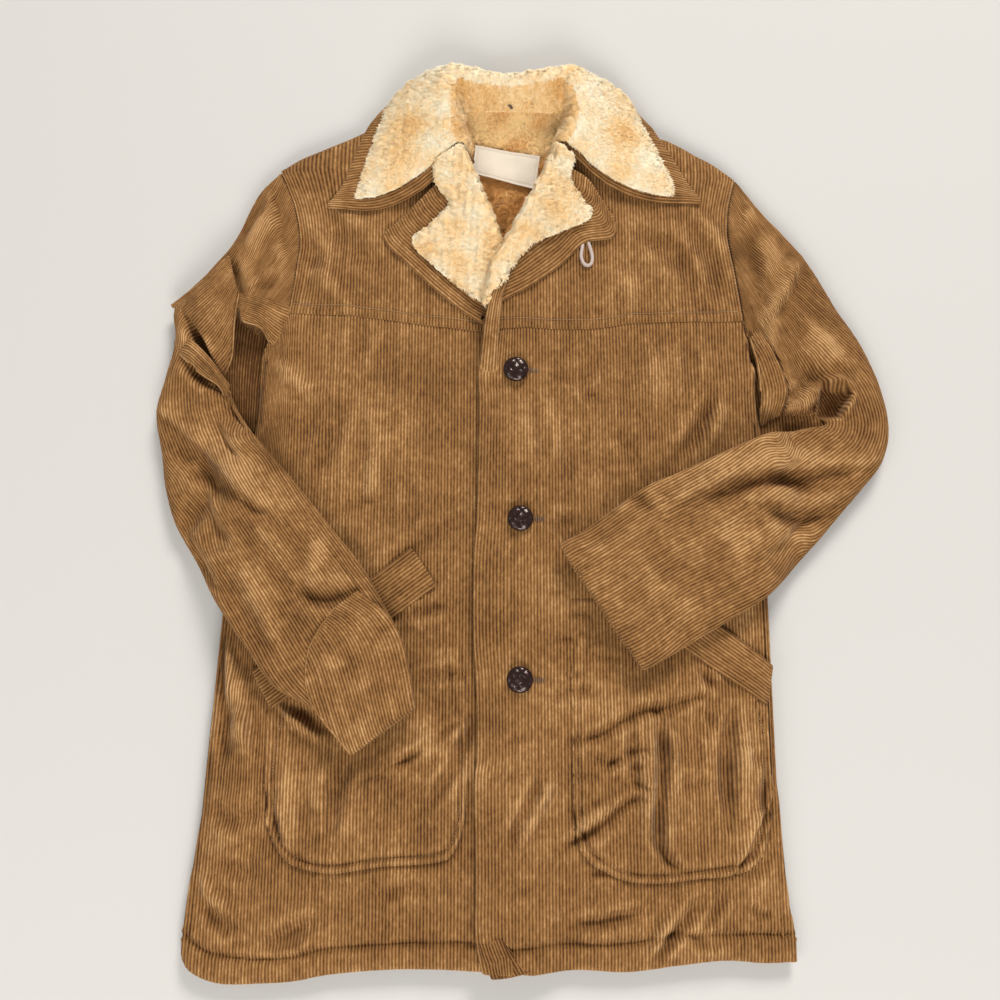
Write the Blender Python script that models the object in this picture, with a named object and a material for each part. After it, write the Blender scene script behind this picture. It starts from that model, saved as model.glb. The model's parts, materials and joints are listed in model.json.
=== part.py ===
"""Corduroy car coat with a pile lining, laid flat on its back, front up, the sleeves bent over the fronts.

Tables are in millimetres, meshes in metres. X runs to the wearer's left, Y from the hem to the collar, Z up.
Every panel is a patch between four edge tables; its wall is the patch moved up or down.
"""

import math

import bmesh
import bpy
import numpy as np

for old in list(bpy.data.objects):
    bpy.data.objects.remove(old, do_unlink=True)

# ---- sizes, mm ----
MM = 0.001
MIDDLE = (22.5, 217.14)  # layout point that becomes X = Y = 0
SEAM = 0.3  # left open between two sewn pieces
LAY = 1.2  # left open between pieces that lie on each other
ARM_GAP = 2.0  # between the armhole and the head of the sleeve
BACK_WALL = 8.0  # corduroy and its pile lining
FRONT_WALL = 8.0
SLEEVE_WALL = 5.0  # corduroy and a quilted lining
COLLAR_WALL = 3.0  # corduroy, doubled
PILE = 6.0  # depth of the pile facings
LINING = 4.6
PATCH_WALL = 1.8
WELT_WALL = 2.8
LABEL_WALL = 1.0
EDGE_Z = 11.8  # top of the fronts along the side seams
SIDE_ROUND, HEM_ROUND, SHOULDER_ROUND = 34.0, 24.0, 30.0
LAP_LIFT, LAP_EDGE, LAP_FADE = 9.6, 26.0, 40.0  # the left front rises over the right one
BUTTON_R, BUTTON_H = 12.8, 7.6
LOOP_R = 1.9

# ---- edges of the body, x, y ----
HEM = [(-299, -217), (-289, -235), (-261, -246), (-222, -246), (-191, -244), (-156, -238), (-103, -234), (-59, -234),
       (-17, -236), (28, -237), (73, -234), (117, -236), (161, -231), (210, -226), (245, -228), (277, -227)]
SIDE_RIGHT = [(-299, -217), (-298, -205), (-295, -172), (-289, -127), (-284, -81), (-283, -34), (-278, 13), (-278, 62),
              (-273, 111), (-267, 161), (-259, 212), (-252, 263), (-248, 295), (-246, 337), (-242, 366), (-228, 392),
              (-218, 407)]
SIDE_LEFT = [(277, -227), (277, -205), (272, -172), (269, -127), (267, -81), (265, -34), (268, 13), (267, 62),
             (265, 111), (266, 161), (266, 212), (266, 263), (264, 295), (260, 337), (254, 370), (250, 398)]
ARM_RIGHT = [(-218, 407), (-211, 454), (-209, 488), (-215, 522), (-228, 556), (-233, 566)]
ARM_LEFT = [(250, 398), (248, 421), (243, 454), (239, 482), (239, 515), (244, 539), (249, 557)]
FRONT_EDGE = [(-14, -239), (-21, -201), (-21, -149), (-22, -64), (-20, -38), (-21, 29), (-24, 74), (-24, 144),
              (-21, 191), (-20, 240), (-19, 308), (-20, 331), (-19, 355), (-14, 388)]
UNDER_EDGE = [(24, -237), (24, 388)]
YOKE_RIGHT = [(24, 388), (0, 387), (-20, 387), (-77, 394), (-114, 399), (-151, 404), (-218, 407)]
YOKE_LEFT = [(-14, 388), (0, 387), (49, 389), (93, 390), (140, 396), (200, 397), (250, 398)]
ROLL_RIGHT = [(24, 388), (18, 420), (4, 455), (-4, 476), (-12, 501), (-22, 531), (-31, 560), (-41, 583), (-47, 610),
              (-54, 640)]
ROLL_LEFT = [(-14, 388), (-6, 415), (2, 457), (11, 476), (24, 498), (38, 528), (51, 557), (64, 581), (73, 607),
             (80, 638)]
SHOULDER_RIGHT = [(-54, 640), (-100, 634), (-138, 617), (-166, 602), (-203, 584), (-233, 566)]
SHOULDER_LEFT = [(80, 638), (120, 630), (167, 608), (193, 594), (225, 575), (249, 557)]
NECK = [(-54, 640), (-34, 630), (12, 626), (62, 629), (80, 638)]
# fullness of the body, y, top z
FULL = [(-250, 14.5), (-205, 17.0), (-150, 19.5), (0, 20.0), (200, 20.0), (400, 20.0), (560, 18.5), (650, 17.0)]
# broad folds that lift the fronts: x0, y0, x1, y1, half width, rise
FOLDS = [
    (-262, -190, -240, 20, 16, 3.5),
    (-120, -190, -150, -60, 26, 2.0),
    (170, -130, 150, 20, 20, 3.0),
    (95, -200, 150, -60, 22, 2.5),
    (232, -170, 240, 20, 18, 3.0),
    (-120, 300, -90, 180, 34, 2.2),
    (150, 350, 120, 240, 38, 2.2),
    (-200, 330, -180, 440, 24, 2.5),
    (205, 330, 190, 440, 24, 2.5),
    (60, -40, 120, 10, 18, 2.2),
]

# ---- lapels and their facings, x, y ----
LAPEL_ROLL_RIGHT = [(-15, 398), (-9, 420), (-1, 455), (-8, 476), (-14, 501), (-22, 531), (-30, 552), (-35, 563)]
LAPEL_EDGE_RIGHT = [(-17, 394), (-44, 413), (-72, 438), (-97, 462), (-115, 480), (-121, 491)]
LAPEL_TOP_RIGHT = [(-35, 563), (-62, 548), (-90, 521), (-121, 491)]
LAPEL_FOOT_RIGHT = [(-15, 398), (-17, 394)]
LAPEL_ROLL_LEFT = [(-11, 393), (-5, 415), (3, 457), (12, 476), (25, 498), (38, 528), (49, 550), (58, 568)]
LAPEL_EDGE_LEFT = [(-8, 391), (-1, 413), (33, 434), (66, 463), (88, 484), (117, 490), (120, 505)]
LAPEL_TOP_LEFT = [(58, 568), (90, 552), (105, 532), (120, 505)]
LAPEL_FOOT_LEFT = [(-11, 393), (-8, 391)]
PILE_EDGE_RIGHT = [(-14, 409), (-36, 432), (-60, 457), (-88, 486), (-72, 508), (-55, 528), (-53, 545)]
PILE_EDGE_LEFT = [(-6, 408), (-2, 424), (36, 459), (54, 478), (72, 502), (91, 508), (82, 526), (74, 544), (72, 556)]
ROLL_RISE = [(0.0, 3.0), (0.25, 7.0), (0.55, 10.0), (1.0, 13.0)]  # along the roll, rise over the yoke

# ---- collar: a row for each section from the right point round the neck to the left point ----
# base x y z, roll x y z, fall x y z, fall x y z, edge x y z: the top of the corduroy
COLLAR = [
    ((-27, 573, 25), (-43, 580, 36), (-80, 544, 29), (-126, 522, 25), (-181, 524, 23)),
    ((-37, 594, 23), (-50, 602, 38), (-90, 576, 31), (-126, 556, 26), (-164, 549, 22)),
    ((-41, 612, 21), (-53, 628, 39), (-86, 614, 33), (-114, 607, 27), (-143, 608, 20)),
    ((-42, 628, 20), (-52, 651, 41), (-76, 648, 36), (-102, 651, 24), (-123, 647, 6)),
    ((-34, 636, 20), (-43, 665, 40), (-56, 672, 35), (-74, 673, 20), (-86, 668, 5)),
    ((-12, 636, 20), (-14, 659, 34), (-15, 668, 29.5), (-16, 673, 17), (-17, 675, 4.5)),
    ((12, 635, 20), (12, 657, 33), (12, 666, 28.5), (12, 671, 16), (12, 673, 4.5)),
    ((36, 635, 20), (38, 660, 35), (39, 669, 30), (40, 674, 17), (41, 676, 4.5)),
    ((60, 633, 20), (66, 664, 40), (80, 669, 35), (95, 668, 20), (107, 662, 5)),
    ((69, 624, 20), (79, 648, 41), (101, 648, 36), (126, 650, 24), (145, 642, 6)),
    ((69, 610, 21), (83, 626, 39), (112, 614, 33), (140, 606, 27), (167, 605, 20)),
    ((63, 593, 23), (78, 604, 38), (118, 579, 31), (157, 564, 26), (195, 553, 22)),
    ((50, 577, 25), (66, 587, 36), (110, 550, 29), (156, 531, 25), (211, 528, 23)),
]

# ---- sleeves: outer x y, inner x y, share of the armhole's bow, share laid on the body, height ----
SLEEVE_RIGHT = [
    (-235, 566, -248, 337, 1.00, 0, 21), (-256, 539, -257, 333, 0.60, 0, 25), (-279, 486, -266, 330, 0.25, 0, 27),
    (-305, 452, -272, 328, 0.05, 0, 27), (-337, 415, -277, 328, 0, 0, 25), (-335, 379, -279, 327, 0, 0, 23),
    (-343, 338, -277, 322, 0, 0, 24), (-350, 300, -264, 298, 0, 0.6, 25), (-342, 258, -243, 270, 0, 1, 25),
    (-337, 225, -214, 237, 0, 1, 24), (-325, 187, -190, 209, 0, 1, 23), (-300, 144, -160, 172, 0, 1, 22),
    (-275, 105, -135, 142, 0, 1, 21), (-243, 62, -115, 108, 0, 1, 21), (-215, 26, -99, 79, 0, 1, 21),
    (-180, 6, -90, 50, 0, 1, 21), (-163, -12, -85, 28, 0, 1, 21), (-140, -37, -82, 5, 0, 1, 20),
]
SLEEVE_LEFT = [
    (251, 557, 266, 295, 1.00, 0, 21), (279, 516, 275, 300, 0.55, 0, 25), (316, 471, 288, 298, 0.2, 0, 27),
    (347, 414, 304, 297, 0, 0, 27), (371, 374, 318, 296, 0, 0, 26), (388, 330, 328, 294, 0, 0, 25),
    (395, 285, 331, 290, 0, 0, 24), (386, 250, 327, 287, 0, 0, 25), (363, 221, 314, 285, 0, 0.2, 26),
    (338, 193, 294, 281, 0, 0.6, 26), (318, 170, 272, 276, 0, 1, 25), (298, 149, 248, 267, 0, 1, 24),
    (262, 114, 212, 251, 0, 1, 23), (222, 89, 176, 234, 0, 1, 22), (188, 69, 142, 219, 0, 1, 21),
    (152, 48, 86, 179, 0, 1, 21), (138, 41, 59, 163, 0, 1, 20),
]
RING = 16  # points round a sleeve
SLEEVE_REACH = 20.0  # how far from the body's side a sleeve lifts off the floor
SLEEVE_SQUARE = 2.7  # how flat a sleeve lies

# ---- pockets and welts: corners and round bottoms, x, y ----
POCKET_RIGHT = dict(
    lower=[(-222, -70), (-217, -108), (-197, -137), (-159, -146), (-113, -140), (-66, -137), (-44, -128), (-33, -95)],
    upper=[(-214, 5), (-170, 36), (-120, 76), (-66, 117)],
    outer=[(-222, -70), (-223, -40), (-214, 5)],
    inner=[(-33, -95), (-32, -20), (-46, 60), (-66, 117)],
)
POCKET_LEFT = dict(
    lower=[(258, -70), (251, -118), (230, -143), (187, -151), (137, -155), (98, -145), (76, -124), (70, -85)],
    upper=[(252, 8), (205, 38), (150, 82), (95, 117)],
    outer=[(258, -70), (260, -20), (252, 8)],
    inner=[(70, -85), (70, 0), (80, 70), (95, 117)],
)
WELT_RIGHT = [(-233, 46), (-89, 161), (-64, 124), (-213, 11)]  # outer top, inner top, inner low, outer low
WELT_LEFT = [(259, 51), (117, 161), (92, 124), (251, 14)]
BUTTONS = [("button_top", 16, 342), ("button_middle", 20, 189), ("button_bottom", 19, 32)]
LOOP = [(85, 478), (85, 468), (88, 460), (92, 457.5), (96, 460), (98, 468), (98, 479)]
LABEL = [(-29, 565), (37, 547), (42, 583), (-26, 596)]
LINING_TOP = [(-32, 622), (12, 619), (60, 621)]
LINING_RIGHT = [(-1, 474), (-14, 520), (-26, 560), (-33, 590), (-32, 622)]
LINING_LEFT = [(4, 474), (26, 520), (46, 560), (60, 592), (60, 621)]
LINING_FOOT = [(-1, 474), (4, 474)]


# ---- curves and patches ----
def curve(rows):
    """A smooth curve through the rows, read by share of its length."""
    p = np.array(rows, float)
    if len(p) == 2:
        dense = p[0] + np.linspace(0, 1, 41)[:, None] * (p[1] - p[0])
    else:
        q = np.vstack([2 * p[0] - p[1], p, 2 * p[-1] - p[-2]])
        t = np.linspace(0, 1, 17)[:-1, None]
        dense = [0.5 * ((2 * b) + (c - a) * t + (2 * a - 5 * b + 4 * c - d) * t**2 + (3 * b - a - 3 * c + d) * t**3)
                 for a, b, c, d in zip(q, q[1:], q[2:], q[3:])]
        dense = np.vstack(dense + [p[-1:]])
    step = np.hypot(*np.diff(dense[:, :2], axis=0).T)
    s = np.concatenate([[0], np.cumsum(step)]) / step.sum()
    return lambda v: np.stack([np.interp(v, s, dense[:, k]) for k in range(dense.shape[1])], -1)


def patch(low, high, first, last, u, v):
    """Points between four edges: u runs along low and high, v along first and last."""
    c0, c1, d0, d1 = curve(low), curve(high), curve(first), curve(last)
    U, V = np.meshgrid(u, v, indexing="ij")
    U3, V3 = U[..., None], V[..., None]
    p00, p10, p01, p11 = (np.array(e, float) for e in (low[0], low[-1], high[0], high[-1]))
    ruled = (1 - V3) * c0(U) + V3 * c1(U) + (1 - U3) * d0(V) + U3 * d1(V)
    corners = (1 - U3) * (1 - V3) * p00 + U3 * (1 - V3) * p10 + (1 - U3) * V3 * p01 + U3 * V3 * p11
    return ruled - corners


def along(rows, at, key=0, value=1):
    """A column of a table read at another column."""
    r = sorted(rows, key=lambda row: row[key])
    return np.interp(at, [q[key] for q in r], [q[value] for q in r])


def quarter(d, r):
    q = np.clip(d / r, 0, 1)
    return np.sqrt(1 - (1 - q) ** 2)


def step(q):
    q = np.clip(q, 0, 1)
    return q * q * (3 - 2 * q)


# ---- heights ----
SHOULDER = SHOULDER_RIGHT[::-1] + NECK[1:-1] + SHOULDER_LEFT


def folds(x, y):
    z = 0.0
    for x0, y0, x1, y1, w, up in FOLDS:
        dx, dy = x1 - x0, y1 - y0
        t = np.clip(((x - x0) * dx + (y - y0) * dy) / (dx * dx + dy * dy), 0, 1)
        d2 = (x - x0 - t * dx) ** 2 + (y - y0 - t * dy) ** 2
        z = z + up * np.exp(-d2 / w**2)
    return z


def body_top(x, y):
    """The outer face of the fronts, right front and left front alike."""
    right, left = along(SIDE_RIGHT, y, 1, 0), along(SIDE_LEFT, y, 1, 0)
    side = np.minimum(x - right, left - x) + 60 * step((y - 320) / 40)
    ends = quarter(y - along(HEM, x), HEM_ROUND) * quarter(along(SHOULDER, x) + 4 - y, SHOULDER_ROUND)
    f = quarter(side, SIDE_ROUND) * ends
    return EDGE_Z + (along(FULL, y) + folds(x, y) - EDGE_Z) * f


def left_top(x, y):
    return body_top(x, y) + LAP_LIFT * (1 - step((x - LAP_EDGE) / LAP_FADE))


def seat(xy, laid, reach):
    """The highest point of what is laid below, within reach of each plan point; 0 beside it."""
    flat = xy.reshape(-1, 2)
    out = np.zeros(len(flat))
    for i, (x, y) in enumerate(flat):
        near = (laid[:, 0] - x) ** 2 + (laid[:, 1] - y) ** 2 < reach * reach
        if near.any():
            out[i] = laid[near, 2].max()
    return out.reshape(xy.shape[:-1])


# ---- meshes ----
MATERIALS = {}


def material(name, colour, rough):
    m = bpy.data.materials.new(name)
    m.use_nodes = True
    b = m.node_tree.nodes["Principled BSDF"]
    b.inputs["Base Color"].default_value = (*colour, 1)
    b.inputs["Roughness"].default_value = rough
    b.inputs["Metallic"].default_value = 0
    MATERIALS[name] = m


material("corduroy", (0.256, 0.130, 0.048), 0.9)
material("pile", (0.745, 0.552, 0.300), 0.95)
material("lining_pile", (0.440, 0.180, 0.052), 0.95)
material("leather", (0.030, 0.016, 0.014), 0.35)
material("cord", (0.560, 0.440, 0.400), 0.7)
material("label", (0.760, 0.730, 0.680), 0.8)


def place(name, points, faces, mat, at=(0, 0, 0)):
    """A node from layout points in mm; `at` is its own origin in layout mm."""
    p = (np.asarray(points, float) - np.array(at)) * MM
    mesh = bpy.data.meshes.new(name)
    mesh.from_pydata([tuple(q) for q in p], [], [tuple(f) for f in faces])
    bm = bmesh.new()
    bm.from_mesh(mesh)
    bmesh.ops.recalc_face_normals(bm, faces=bm.faces)
    bmesh.ops.triangulate(bm, faces=bm.faces)
    bm.to_mesh(mesh)
    bm.free()
    mesh.materials.append(MATERIALS[mat])
    ob = bpy.data.objects.new(name, mesh)
    ob.location = ((at[0] - MIDDLE[0]) * MM, (at[1] - MIDDLE[1]) * MM, at[2] * MM)
    bpy.context.scene.collection.objects.link(ob)
    return ob


def wall(name, upper, lower, mat, at=(0, 0, 0)):
    """A closed wall between two grids of the same size."""
    m, n = upper.shape[:2]
    k = m * n
    top = np.arange(k).reshape(m, n)
    low = top + k
    faces = []
    for i in range(m - 1):
        for j in range(n - 1):
            faces.append((top[i, j], top[i + 1, j], top[i + 1, j + 1], top[i, j + 1]))
            faces.append((low[i, j], low[i, j + 1], low[i + 1, j + 1], low[i + 1, j]))
    rim = [(i, 0) for i in range(m)] + [(m - 1, j) for j in range(1, n)]
    rim += [(i, n - 1) for i in range(m - 2, -1, -1)] + [(0, j) for j in range(n - 2, 0, -1)]
    for a, b in zip(rim, rim[1:] + rim[:1]):
        faces.append((top[a], low[a], low[b], top[b]))
    return place(name, np.vstack([upper.reshape(-1, 3), lower.reshape(-1, 3)]), faces, mat, at)


def stack(plan, z):
    return np.concatenate([plan, np.broadcast_to(z, plan.shape[:2])[..., None]], -1)


def evenly(n):
    return np.linspace(0, 1, n)


def to_arm(n, share, m):
    """Rows up a side: n up to the armhole, m more along it."""
    return np.concatenate([np.linspace(0, share, n), np.linspace(share, 1, m + 1)[1:]])


def inset(plan, by):
    """Draws a patch's outline in by a seam allowance, so that neighbours stay apart."""
    c = plan.reshape(-1, 2).mean(0)
    size = np.abs(plan - c).reshape(-1, 2).max(0)
    return c + (plan - c) * (1 - by / size)


# ---- body panels ----
LAID = []  # top of the body as it is built up, for what lies on it


def build_back():
    sides = SIDE_RIGHT + ARM_RIGHT[1:], SIDE_LEFT + ARM_LEFT[1:]
    plan = patch(HEM, SHOULDER, *sides, evenly(11), to_arm(12, 0.68, 10))
    wall("back", stack(plan, BACK_WALL), stack(plan, 0.0), "corduroy")


def panel(name, plan, top):
    z = top(plan[..., 0], plan[..., 1])
    under = np.maximum(z - FRONT_WALL, BACK_WALL + SEAM)
    wall(name, stack(plan, z), stack(plan, np.minimum(under, z - 2.0)), "corduroy")


def hem_between(x0, x1):
    inner = [p for p in HEM if min(x0, x1) + 6 < p[0] < max(x0, x1) - 6]
    rows = [(min(x0, x1), along(HEM, min(x0, x1)))] + inner + [(max(x0, x1), along(HEM, max(x0, x1)))]
    return rows if x0 < x1 else rows[::-1]


def build_fronts():
    low_right, low_left = hem_between(24, -299), hem_between(-14, 277)
    shapes = [
        ("front_right", low_right, YOKE_RIGHT, [low_right[0], UNDER_EDGE[1]], [low_right[-1]] + SIDE_RIGHT[1:], body_top),
        ("front_left", low_left, YOKE_LEFT, [low_left[0]] + FRONT_EDGE[1:], SIDE_LEFT, left_top),
        ("yoke_right", YOKE_RIGHT, SHOULDER_RIGHT, ROLL_RIGHT, ARM_RIGHT, body_top),
        ("yoke_left", YOKE_LEFT, SHOULDER_LEFT, ROLL_LEFT, ARM_LEFT, left_top),
    ]
    for name, low, high, first, last, top in shapes:
        front = name.startswith("front")
        u, v = (evenly(11), to_arm(13, 0.85, 4)) if front else (evenly(10), evenly(9))
        panel(name, inset(patch(low, high, first, last, u, v), SEAM), top)
        dense = patch(low, high, first, last, evenly(60), evenly(90 if front else 40))
        LAID.append(stack(dense, top(dense[..., 0], dense[..., 1])).reshape(-1, 3))


# ---- what lies on the panels ----
def build_pockets():
    for side, shape, welt, front in (("right", POCKET_RIGHT, WELT_RIGHT, LAID[0]), ("left", POCKET_LEFT, WELT_LEFT, LAID[1])):
        a, b, c, d = welt
        for name, edges, thick, u, v in (
            ("pocket_", [shape[k] for k in ("lower", "upper", "outer", "inner")], PATCH_WALL, evenly(10), evenly(7)),
            ("welt_", [[d, c], [a, b], [d, a], [c, b]], WELT_WALL, evenly(8), evenly(3)),
        ):
            plan = patch(*edges, u, v)
            z = seat(plan, front, 14.0) + LAY
            wall(name + side, stack(plan, z + thick), stack(plan, z), "corduroy")
            dense = patch(*edges, evenly(40), evenly(40))
            LAID.append(stack(dense, seat(dense, front, 14.0) + LAY + thick).reshape(-1, 3))


def build_lapels():
    u, v = evenly(6), evenly(9)
    for side, roll, edge, high, foot, pile_edge, top in (
        ("right", LAPEL_ROLL_RIGHT, LAPEL_EDGE_RIGHT, LAPEL_TOP_RIGHT, LAPEL_FOOT_RIGHT, PILE_EDGE_RIGHT, body_top),
        ("left", LAPEL_ROLL_LEFT, LAPEL_EDGE_LEFT, LAPEL_TOP_LEFT, LAPEL_FOOT_LEFT, PILE_EDGE_LEFT, left_top),
    ):
        def lapel(u, v):
            plan = patch(foot, high, roll, edge, u, v)
            rise = along(ROLL_RISE, v)[None, :] * (1 - u[:, None]) ** 1.6
            return plan, top(plan[..., 0], plan[..., 1]) + LAY + rise

        plan, z = lapel(u, v)
        wall("lapel_" + side, stack(plan, z + COLLAR_WALL), stack(plan, z), "corduroy")
        # the facing lies on the lapel, drawn in from its edge
        laid = stack(*lapel(evenly(30), evenly(50))).reshape(-1, 3)
        plan = patch([roll[0], pile_edge[0]], [roll[-1], pile_edge[-1]], roll, pile_edge, u, v)
        z = seat(plan, laid, 7.0) + COLLAR_WALL + LAY
        depth = PILE * np.sqrt(1 - 0.9 * u[:, None] ** 4) * np.interp(v, [0, 0.15, 1], [0.35, 1, 1])[None, :]
        wall("lapel_facing_" + side, stack(plan, z + depth), stack(plan, z), "pile")


def normals(g):
    du, dv = np.gradient(g, axis=0), np.gradient(g, axis=1)
    n = np.cross(du, dv)
    return n / np.maximum(np.linalg.norm(n, axis=-1, keepdims=True), 1e-9)


def collar_grid(s, t):
    """Points of the corduroy collar: s round the neck, t from the neck seam over the roll to the edge."""
    rows = np.array(COLLAR, float)
    around = [curve_rows(rows[:, k], s) for k in range(5)]
    return np.stack([curve_rows(np.array([a[i] for a in around]), t) for i in range(len(s))])


def curve_rows(p, at):
    """A smooth curve through evenly numbered points."""
    q = np.vstack([2 * p[0] - p[1], p, 2 * p[-1] - p[-2]])
    x = np.clip(at, 0, 1) * (len(p) - 1)
    i = np.minimum(x.astype(int), len(p) - 2)
    t = (x - i)[:, None]
    a, b, c, d = q[i], q[i + 1], q[i + 2], q[i + 3]
    return 0.5 * ((2 * b) + (c - a) * t + (2 * a - 5 * b + 4 * c - d) * t**2 + (3 * b - a - 3 * c + d) * t**3)


def collar(s, t):
    """The corduroy collar's upper face, clear of the yokes below it, and its outward direction."""
    g = collar_grid(s, t)
    yokes = np.vstack(LAID[2:4])
    low = seat(g[..., :2], yokes, 8.0)
    g[..., 2] = np.where(t[None, :] > 0.2, np.maximum(g[..., 2], low + LAY + COLLAR_WALL), g[..., 2])
    n = normals(g)
    return g, n * np.sign(n[len(s) // 2, 2, 2] or 1)


def build_collar():
    s, t = evenly(21), np.array([0, 0.12, 0.22, 0.33, 0.5, 0.66, 0.84, 1.0])
    g, n = collar(s, t)
    wall("under_collar", g, g - COLLAR_WALL * n, "corduroy")
    # the facing is made from the collar's own points, less its rim, moved out
    g, n, s, t = g[1:-1, :-1], n[1:-1, :-1], evenly(19), t[:-1] / t[-2]
    ends = np.sqrt(np.clip(1 - (2 * np.abs(s - 0.5)) ** 16, 0.1, 1))[:, None, None]
    depth = PILE * ends * np.sqrt(1 - 0.9 * t**6)[None, :, None]
    wall("collar_facing", g + (LAY + depth) * n, g + LAY * n, "pile")


def build_neck():
    plan = patch(LINING_FOOT, LINING_TOP, LINING_RIGHT, LINING_LEFT, evenly(7), evenly(7))
    z = BACK_WALL + SEAM
    wall("neck_lining", stack(plan, z + LINING), stack(plan, z), "lining_pile")
    a, b, c, d = LABEL
    plan = patch([a, b], [d, c], [a, d], [b, c], evenly(5), evenly(3))
    z += LINING + SEAM
    wall("neck_label", stack(plan, z + LABEL_WALL), stack(plan, z), "label")


# ---- sleeves ----
def ring_points(row, arm, thin, n):
    """One ring of a sleeve in layout mm; thin draws it in by the wall."""
    ax, ay, bx, by, bow, laid, high = row
    ang = np.arange(n) / n * 2 * math.pi
    e = 2 / SLEEVE_SQUARE
    across = np.sign(np.cos(ang)) * np.abs(np.cos(ang)) ** e
    rise = np.sign(np.sin(ang)) * np.abs(np.sin(ang)) ** e
    wide = math.hypot(ax - bx, ay - by)
    a, b = np.array([ax, ay], float), np.array([bx, by], float)
    share = (1 - across * (1 - 2 * thin / wide)) / 2  # 0 at the outer edge, 1 at the inner edge
    across = (1 - across) / 2
    chord = arm(np.array([0.0]))[0], arm(np.array([1.0]))[0]
    bend = arm(share) - (chord[0] + share[:, None] * (chord[1] - chord[0]))
    xy = a + share[:, None] * (b - a) + bow * bend
    below = seat(a + across[:, None] * (b - a), np.vstack(LAID), SLEEVE_REACH)
    low = laid * np.where(below > 0, below + LAY, 0) + thin
    z = low + (high - 2 * thin) * (rise + 1) / 2
    return np.concatenate([xy, z[:, None]], -1)


def build_sleeves():
    for side, rows, arm in (
        ("right", SLEEVE_RIGHT, [(x - ARM_GAP, y) for x, y in SIDE_RIGHT[-4:] + ARM_RIGHT[1:]]),
        ("left", SLEEVE_LEFT, [(x + ARM_GAP, y) for x, y in SIDE_LEFT[-4:] + ARM_LEFT[1:]]),
    ):
        arm = curve(arm[::-1])
        outer = [ring_points(r, arm, 0.0, RING) for r in rows]
        inner = [ring_points(r, arm, SLEEVE_WALL, RING) for r in rows]
        m, n = len(rows), RING
        pts = np.vstack(outer + inner)
        faces = []
        for i in range(m - 1):
            for j in range(n):
                k = (j + 1) % n
                faces.append((i * n + j, i * n + k, (i + 1) * n + k, (i + 1) * n + j))
                o = m * n
                faces.append((o + i * n + j, o + (i + 1) * n + j, o + (i + 1) * n + k, o + i * n + k))
        for i in (0, m - 1):
            for j in range(n):
                k = (j + 1) % n
                faces.append((i * n + j, i * n + k, m * n + i * n + k, m * n + i * n + j))
        place("sleeve_" + side, pts, faces, "corduroy")


# ---- buttons and loop ----
def build_buttons():
    profile = [(0.0, 1.0), (0.42, 0.97), (0.72, 0.82), (0.93, 0.52), (1.0, 0.3), (0.9, 0.08), (0.62, 0.0)]
    n = 14
    for name, x, y in BUTTONS:
        z0 = float(left_top(np.array([x + 12.0, x - 12.0, x]), np.array([y, y, y * 1.0])).max()) + LAY
        pts, faces = [(x, y, z0 + BUTTON_H)], []
        for r, h in profile[1:]:
            pts += [(x + BUTTON_R * r * math.cos(2 * math.pi * i / n), y + BUTTON_R * r * math.sin(2 * math.pi * i / n),
                     z0 + BUTTON_H * h) for i in range(n)]
        for i in range(n):
            faces.append((0, 1 + i, 1 + (i + 1) % n))
        rings = len(profile) - 1
        for q in range(rings - 1):
            for i in range(n):
                a, b = 1 + q * n + i, 1 + q * n + (i + 1) % n
                faces.append((a, a + n, b + n, b))
        faces.append(tuple(1 + (rings - 1) * n + i for i in range(n)))
        place(name, pts, faces, "leather", (x, y, z0))


def build_loop():
    path = curve([(x, y) for x, y in LOOP])(evenly(15))
    z = body_top(path[:, 0], path[:, 1]) + LAY + LOOP_R
    tang = np.gradient(path, axis=0)
    tang /= np.linalg.norm(tang, axis=1, keepdims=True)
    n, pts, faces = 6, [], []
    for (x, y), h, (tx, ty) in zip(path, z, tang):
        for i in range(n):
            c, s = math.cos(2 * math.pi * i / n), math.sin(2 * math.pi * i / n)
            pts.append((x - ty * LOOP_R * c, y + tx * LOOP_R * c, h + LOOP_R * s))
    m = len(path)
    for i in range(m - 1):
        for j in range(n):
            k = (j + 1) % n
            faces.append((i * n + j, i * n + k, (i + 1) * n + k, (i + 1) * n + j))
    faces.append(tuple(range(n)))
    faces.append(tuple((m - 1) * n + j for j in range(n)))
    place("lapel_loop", pts, faces, "cord")


build_back()
build_fronts()
build_pockets()
build_lapels()
build_collar()
build_neck()
build_sleeves()
build_buttons()
build_loop()
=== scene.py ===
"""Looks of the corduroy coat: cloth shells, pile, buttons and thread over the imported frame, with floor, light and camera.

Tables are in millimetres, in the part's layout: X to the wearer's left, Y from the hem to the collar, Z up.
Creases and flaps are placed by the photograph's pixels and set on the cloth that carries them.
"""

import json
import math

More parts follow.
